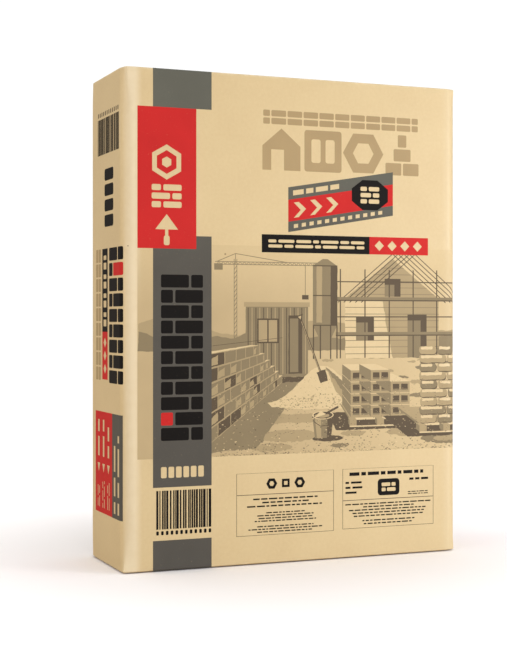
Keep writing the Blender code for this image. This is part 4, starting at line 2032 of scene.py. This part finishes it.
@dataclass
class ValveSleeve:
    """The flattened paper sleeve at one end of the top, its mouth slightly parted."""

    form: SackForm
    node: str = "valve_sleeve"
    wall: float = 0.00013
    parting: float = 0.0006
    steps: int = 24
    cuts: int = 6
    edge: float = 3.0
    wave: float = 0.00008
    smooth: float = math.radians(50)

    def build(self, finish: KraftFinish, effects: Effects) -> Piece:
        """Models the sleeve and dresses it.

        Args:
            finish: Its finish.
            effects: The shared groups.

        Returns:
            The sleeve.
        """
        low, high = (Vector(corner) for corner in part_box(self.node))
        deselect_all()
        bpy.ops.mesh.primitive_cylinder_add(
            vertices=self.steps * 2, radius=1.0, depth=high.x - low.x, end_fill_type="NOTHING",
            location=(0, 0, 0), rotation=(0, math.pi / 2, 0),
        )
        bpy.ops.object.transform_apply(location=True, rotation=True, scale=True)
        sleeve = bpy.context.active_object
        sleeve.name = sleeve.data.name = "valve_sleeve_tube"
        bpy.ops.object.mode_set(mode="EDIT")
        bpy.ops.mesh.select_all(action="SELECT")
        bpy.ops.mesh.subdivide(number_cuts=self.cuts)
        bpy.ops.mesh.normals_make_consistent(inside=False)
        bpy.ops.object.mode_set(mode="OBJECT")
        middle, half = (low + high) / 2, (high - low) / 2
        for vertex in sleeve.data.vertices:
            x, y, z = vertex.co
            share = (x + half.x) / (2 * half.x)
            opening = self.parting * share ** 3 * (1 - y * y)
            angle = math.atan2(z, y)
            flat = math.copysign(min(1.0, abs(math.sin(angle)) * self.edge), z)
            wave = self.wave * math.sin(5.0 * y + 2.0) * share
            vertex.co = (
                middle.x + x,
                middle.y + math.cos(angle) * half.y,
                middle.z + flat * (half.z + opening / 2) + opening / 2 + wave,
            )
        thicken(sleeve, self.wall, -1.0)
        shade_rounds(sleeve, self.smooth)
        finish_piece(sleeve, finish.make(effects, self.form), [self.node])
        return sleeve


@dataclass
class CementFill:
    """The powder that fills the sack. It keeps its CAD mesh."""

    node: str = "cement_fill"

    def build(self) -> None:
        """Dresses the node and reports it."""
        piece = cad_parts[self.node]
        material = CementFinish().make()
        piece.data.materials.clear()
        piece.data.materials.append(material)
        LOG.info("%s: %d faces, %s", piece.name, len(piece.data.polygons), material.name)


@dataclass
class Studio:
    """The camera, lights and floor."""

    focal_px: float = 1382.8
    frame_px: tuple[int, int] = (507, 650)
    horizon_px: float = 319.4
    turn: float = math.radians(22.21)
    corner_right: float = -0.1383
    corner_away: float = 1.4644
    eye: float = 0.270
    sensor: float = 36.0
    floor_level: float = -0.0004
    floor_seen: Colour = (0.99, 0.96, 0.96)
    floor_bounced: Colour = (0.62, 0.47, 0.33)
    glow_from: Point = (0.12, 0.66)
    glow: float = 0.30
    backdrop: Point = (0.354, 1.05)
    warm: Colour = (1.0, 0.935, 0.835)

    def build(self, near_corner: Point) -> None:
        """Sets up everything round the bag.

        Args:
            near_corner: The place in plan of the bag's virtual near corner.
        """
        self.camera(near_corner)
        self.floor()
        self.world()
        self.lights()
        bpy.context.scene.view_settings.view_transform = "Standard"

    def camera(self, near_corner: Point) -> None:
        """Places the camera where the photograph's was.

        Args:
            near_corner: The place in plan of the bag's virtual near corner.
        """
        data = bpy.data.cameras.new("camera")
        long_side = max(self.frame_px)
        data.sensor_width = self.sensor
        data.lens = self.focal_px * self.sensor / long_side
        data.shift_y = (self.horizon_px - self.frame_px[1] / 2) / long_side
        camera = add_object("camera", data)
        right = Vector((math.cos(self.turn), -math.sin(self.turn), 0))
        away = Vector((math.sin(self.turn), math.cos(self.turn), 0))
        corner = Vector((*near_corner, self.eye))
        camera.location = corner - right * self.corner_right - away * self.corner_away
        camera.rotation_euler = (math.pi / 2, 0, -self.turn)
        bpy.context.scene.camera = camera

    def floor(self) -> None:
        """A plain pale floor."""
        deselect_all()
        bpy.ops.mesh.primitive_plane_add(size=40, location=(0, 0, self.floor_level))
        floor = bpy.context.active_object
        floor.name = "floor"
        material, graph, shader = new_material("floor_paint")
        path = graph.add("ShaderNodeLightPath").outputs
        bounced = graph.math("MAXIMUM", path["Is Diffuse Ray"], path["Is Glossy Ray"])
        colour = graph.mix(bounced, (*self.floor_seen, 1), (*self.floor_bounced, 1))
        vector = graph.add("ShaderNodeTexCoord").outputs["Object"]
        distance = graph.vector_math("LENGTH", vector)["Value"]
        far = graph.between(distance, *self.glow_from, 0.0, self.glow)
        glow = graph.math("MULTIPLY", far, path["Is Camera Ray"])
        graph.tree.links.new(colour, shader.inputs["Base Color"])
        graph.tree.links.new(glow, shader.inputs["Emission Strength"])
        shader.inputs["Emission Color"].default_value = (1, 1, 1, 1)
        shader.inputs["Roughness"].default_value = 0.9
        floor.data.materials.append(material)

    def world(self) -> None:
        """A white backdrop that lights the bag only softly."""
        world = bpy.data.worlds.new("backdrop")
        world.use_nodes = True
        bpy.context.scene.world = world
        graph = Graph(world.node_tree)
        seen = graph.add("ShaderNodeLightPath").outputs["Is Camera Ray"]
        strength = graph.between(seen, 0.0, 1.0, *self.backdrop)
        background = world.node_tree.nodes["Background"]
        background.inputs["Color"].default_value = (1, 1, 1, 1)
        graph.tree.links.new(strength, background.inputs["Strength"])

    def lights(self) -> None:
        """Two high soft lights, a front key, and softboxes to the right and the left."""
        self.sun("overhead", 0.98, 90, (0.1, 0.2, 1.0))
        self.sun("front_high", 0.44, 60, (0.25, -0.35, 1.0))
        self.area("front_softbox", 14.5, (1.0, 1.6), (-0.65, -2.7, 0.75), (0.0, 0.0, 0.25))
        self.area("right_softbox", 5.6, (0.5, 1.2), (1.0, -0.9, 0.3), (0.2, 0.0, 0.27))
        self.area("low_right_softbox", 8.8, (0.5, 0.5), (1.3, -1.2, 0.3), (0.15, 0.0, 0.1))
        self.area("left_softbox", 12.0, (1.0, 1.4), (-2.4, -0.8, 0.5), (-0.2, 0.0, 0.3), self.warm)
        self.area("left_rear_softbox", 8.4, (1.0, 1.0), (-2.2, 0.5, 1.2), (-0.2, 0.0, 0.35), self.warm)

    def sun(self, name: str, strength: float, spread: float, toward: Sequence[float]) -> None:
        """Adds a distant light.

        Args:
            name: Its name.
            strength: Its strength.
            spread: Its angular size in degrees.
            toward: The direction that it comes from.
        """
        data = bpy.data.lights.new(name, "SUN")
        data.energy = strength
        data.angle = math.radians(spread)
        light = add_object(name, data)
        light.rotation_euler = Vector(toward).to_track_quat("Z", "Y").to_euler()

    def area(
        self, name: str, power: float, size: Point, place: Sequence[float], target: Sequence[float],
        colour: Colour = (1.0, 1.0, 1.0),
    ) -> None:
        """Adds a softbox.

        Args:
            name: Its name.
            power: Its power in watts.
            size: Its width and height.
            place: Where it stands.
            target: Where it points.
            colour: Its colour.
        """
        data = bpy.data.lights.new(name, "AREA")
        data.color = colour
        data.shape = "RECTANGLE"
        data.size, data.size_y = size
        data.energy = power
        light = add_object(name, data)
        light.location = place
        light.rotation_euler = (Vector(place) - Vector(target)).to_track_quat("Z", "Y").to_euler()


@dataclass
class CementBag:
    """The whole bag."""

    skin_inset: float = 0.0001
    ply: float = 0.0004

    def form(self) -> SackForm:
        """Reads the sack's outer skin from its CAD node.

        Returns:
            The sack's form.
        """
        low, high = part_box("paper_sack")
        return SackForm(
            half_width=high[0] - self.skin_inset,
            front=low[1] + self.skin_inset,
            back=high[1] - self.ply,
            bottom=low[2] + self.ply,
            top=high[2] - self.ply,
        )

    def build(self) -> None:
        """Builds and dresses every piece."""
        form, effects = self.form(), Effects()
        PaperSack(form).build(KRAFT, effects)
        for end, node in ((1, "top_cover_patch"), (-1, "bottom_cover_patch")):
            CoverPatch(form, end, node).build(PATCH_PAPER, effects)
        ValveSleeve(form).build(SLEEVE_PAPER, effects)
        InkPlates(form).build(KRAFT, effects)
        CementFill().build()
        low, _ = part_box("paper_sack")
        Studio().build((low[0], low[1]))


def main() -> None:
    """Builds the scene."""
    logging.basicConfig(level=logging.INFO, format="%(message)s")
    CementBag().build()


if __name__ == "__main__":
    main()
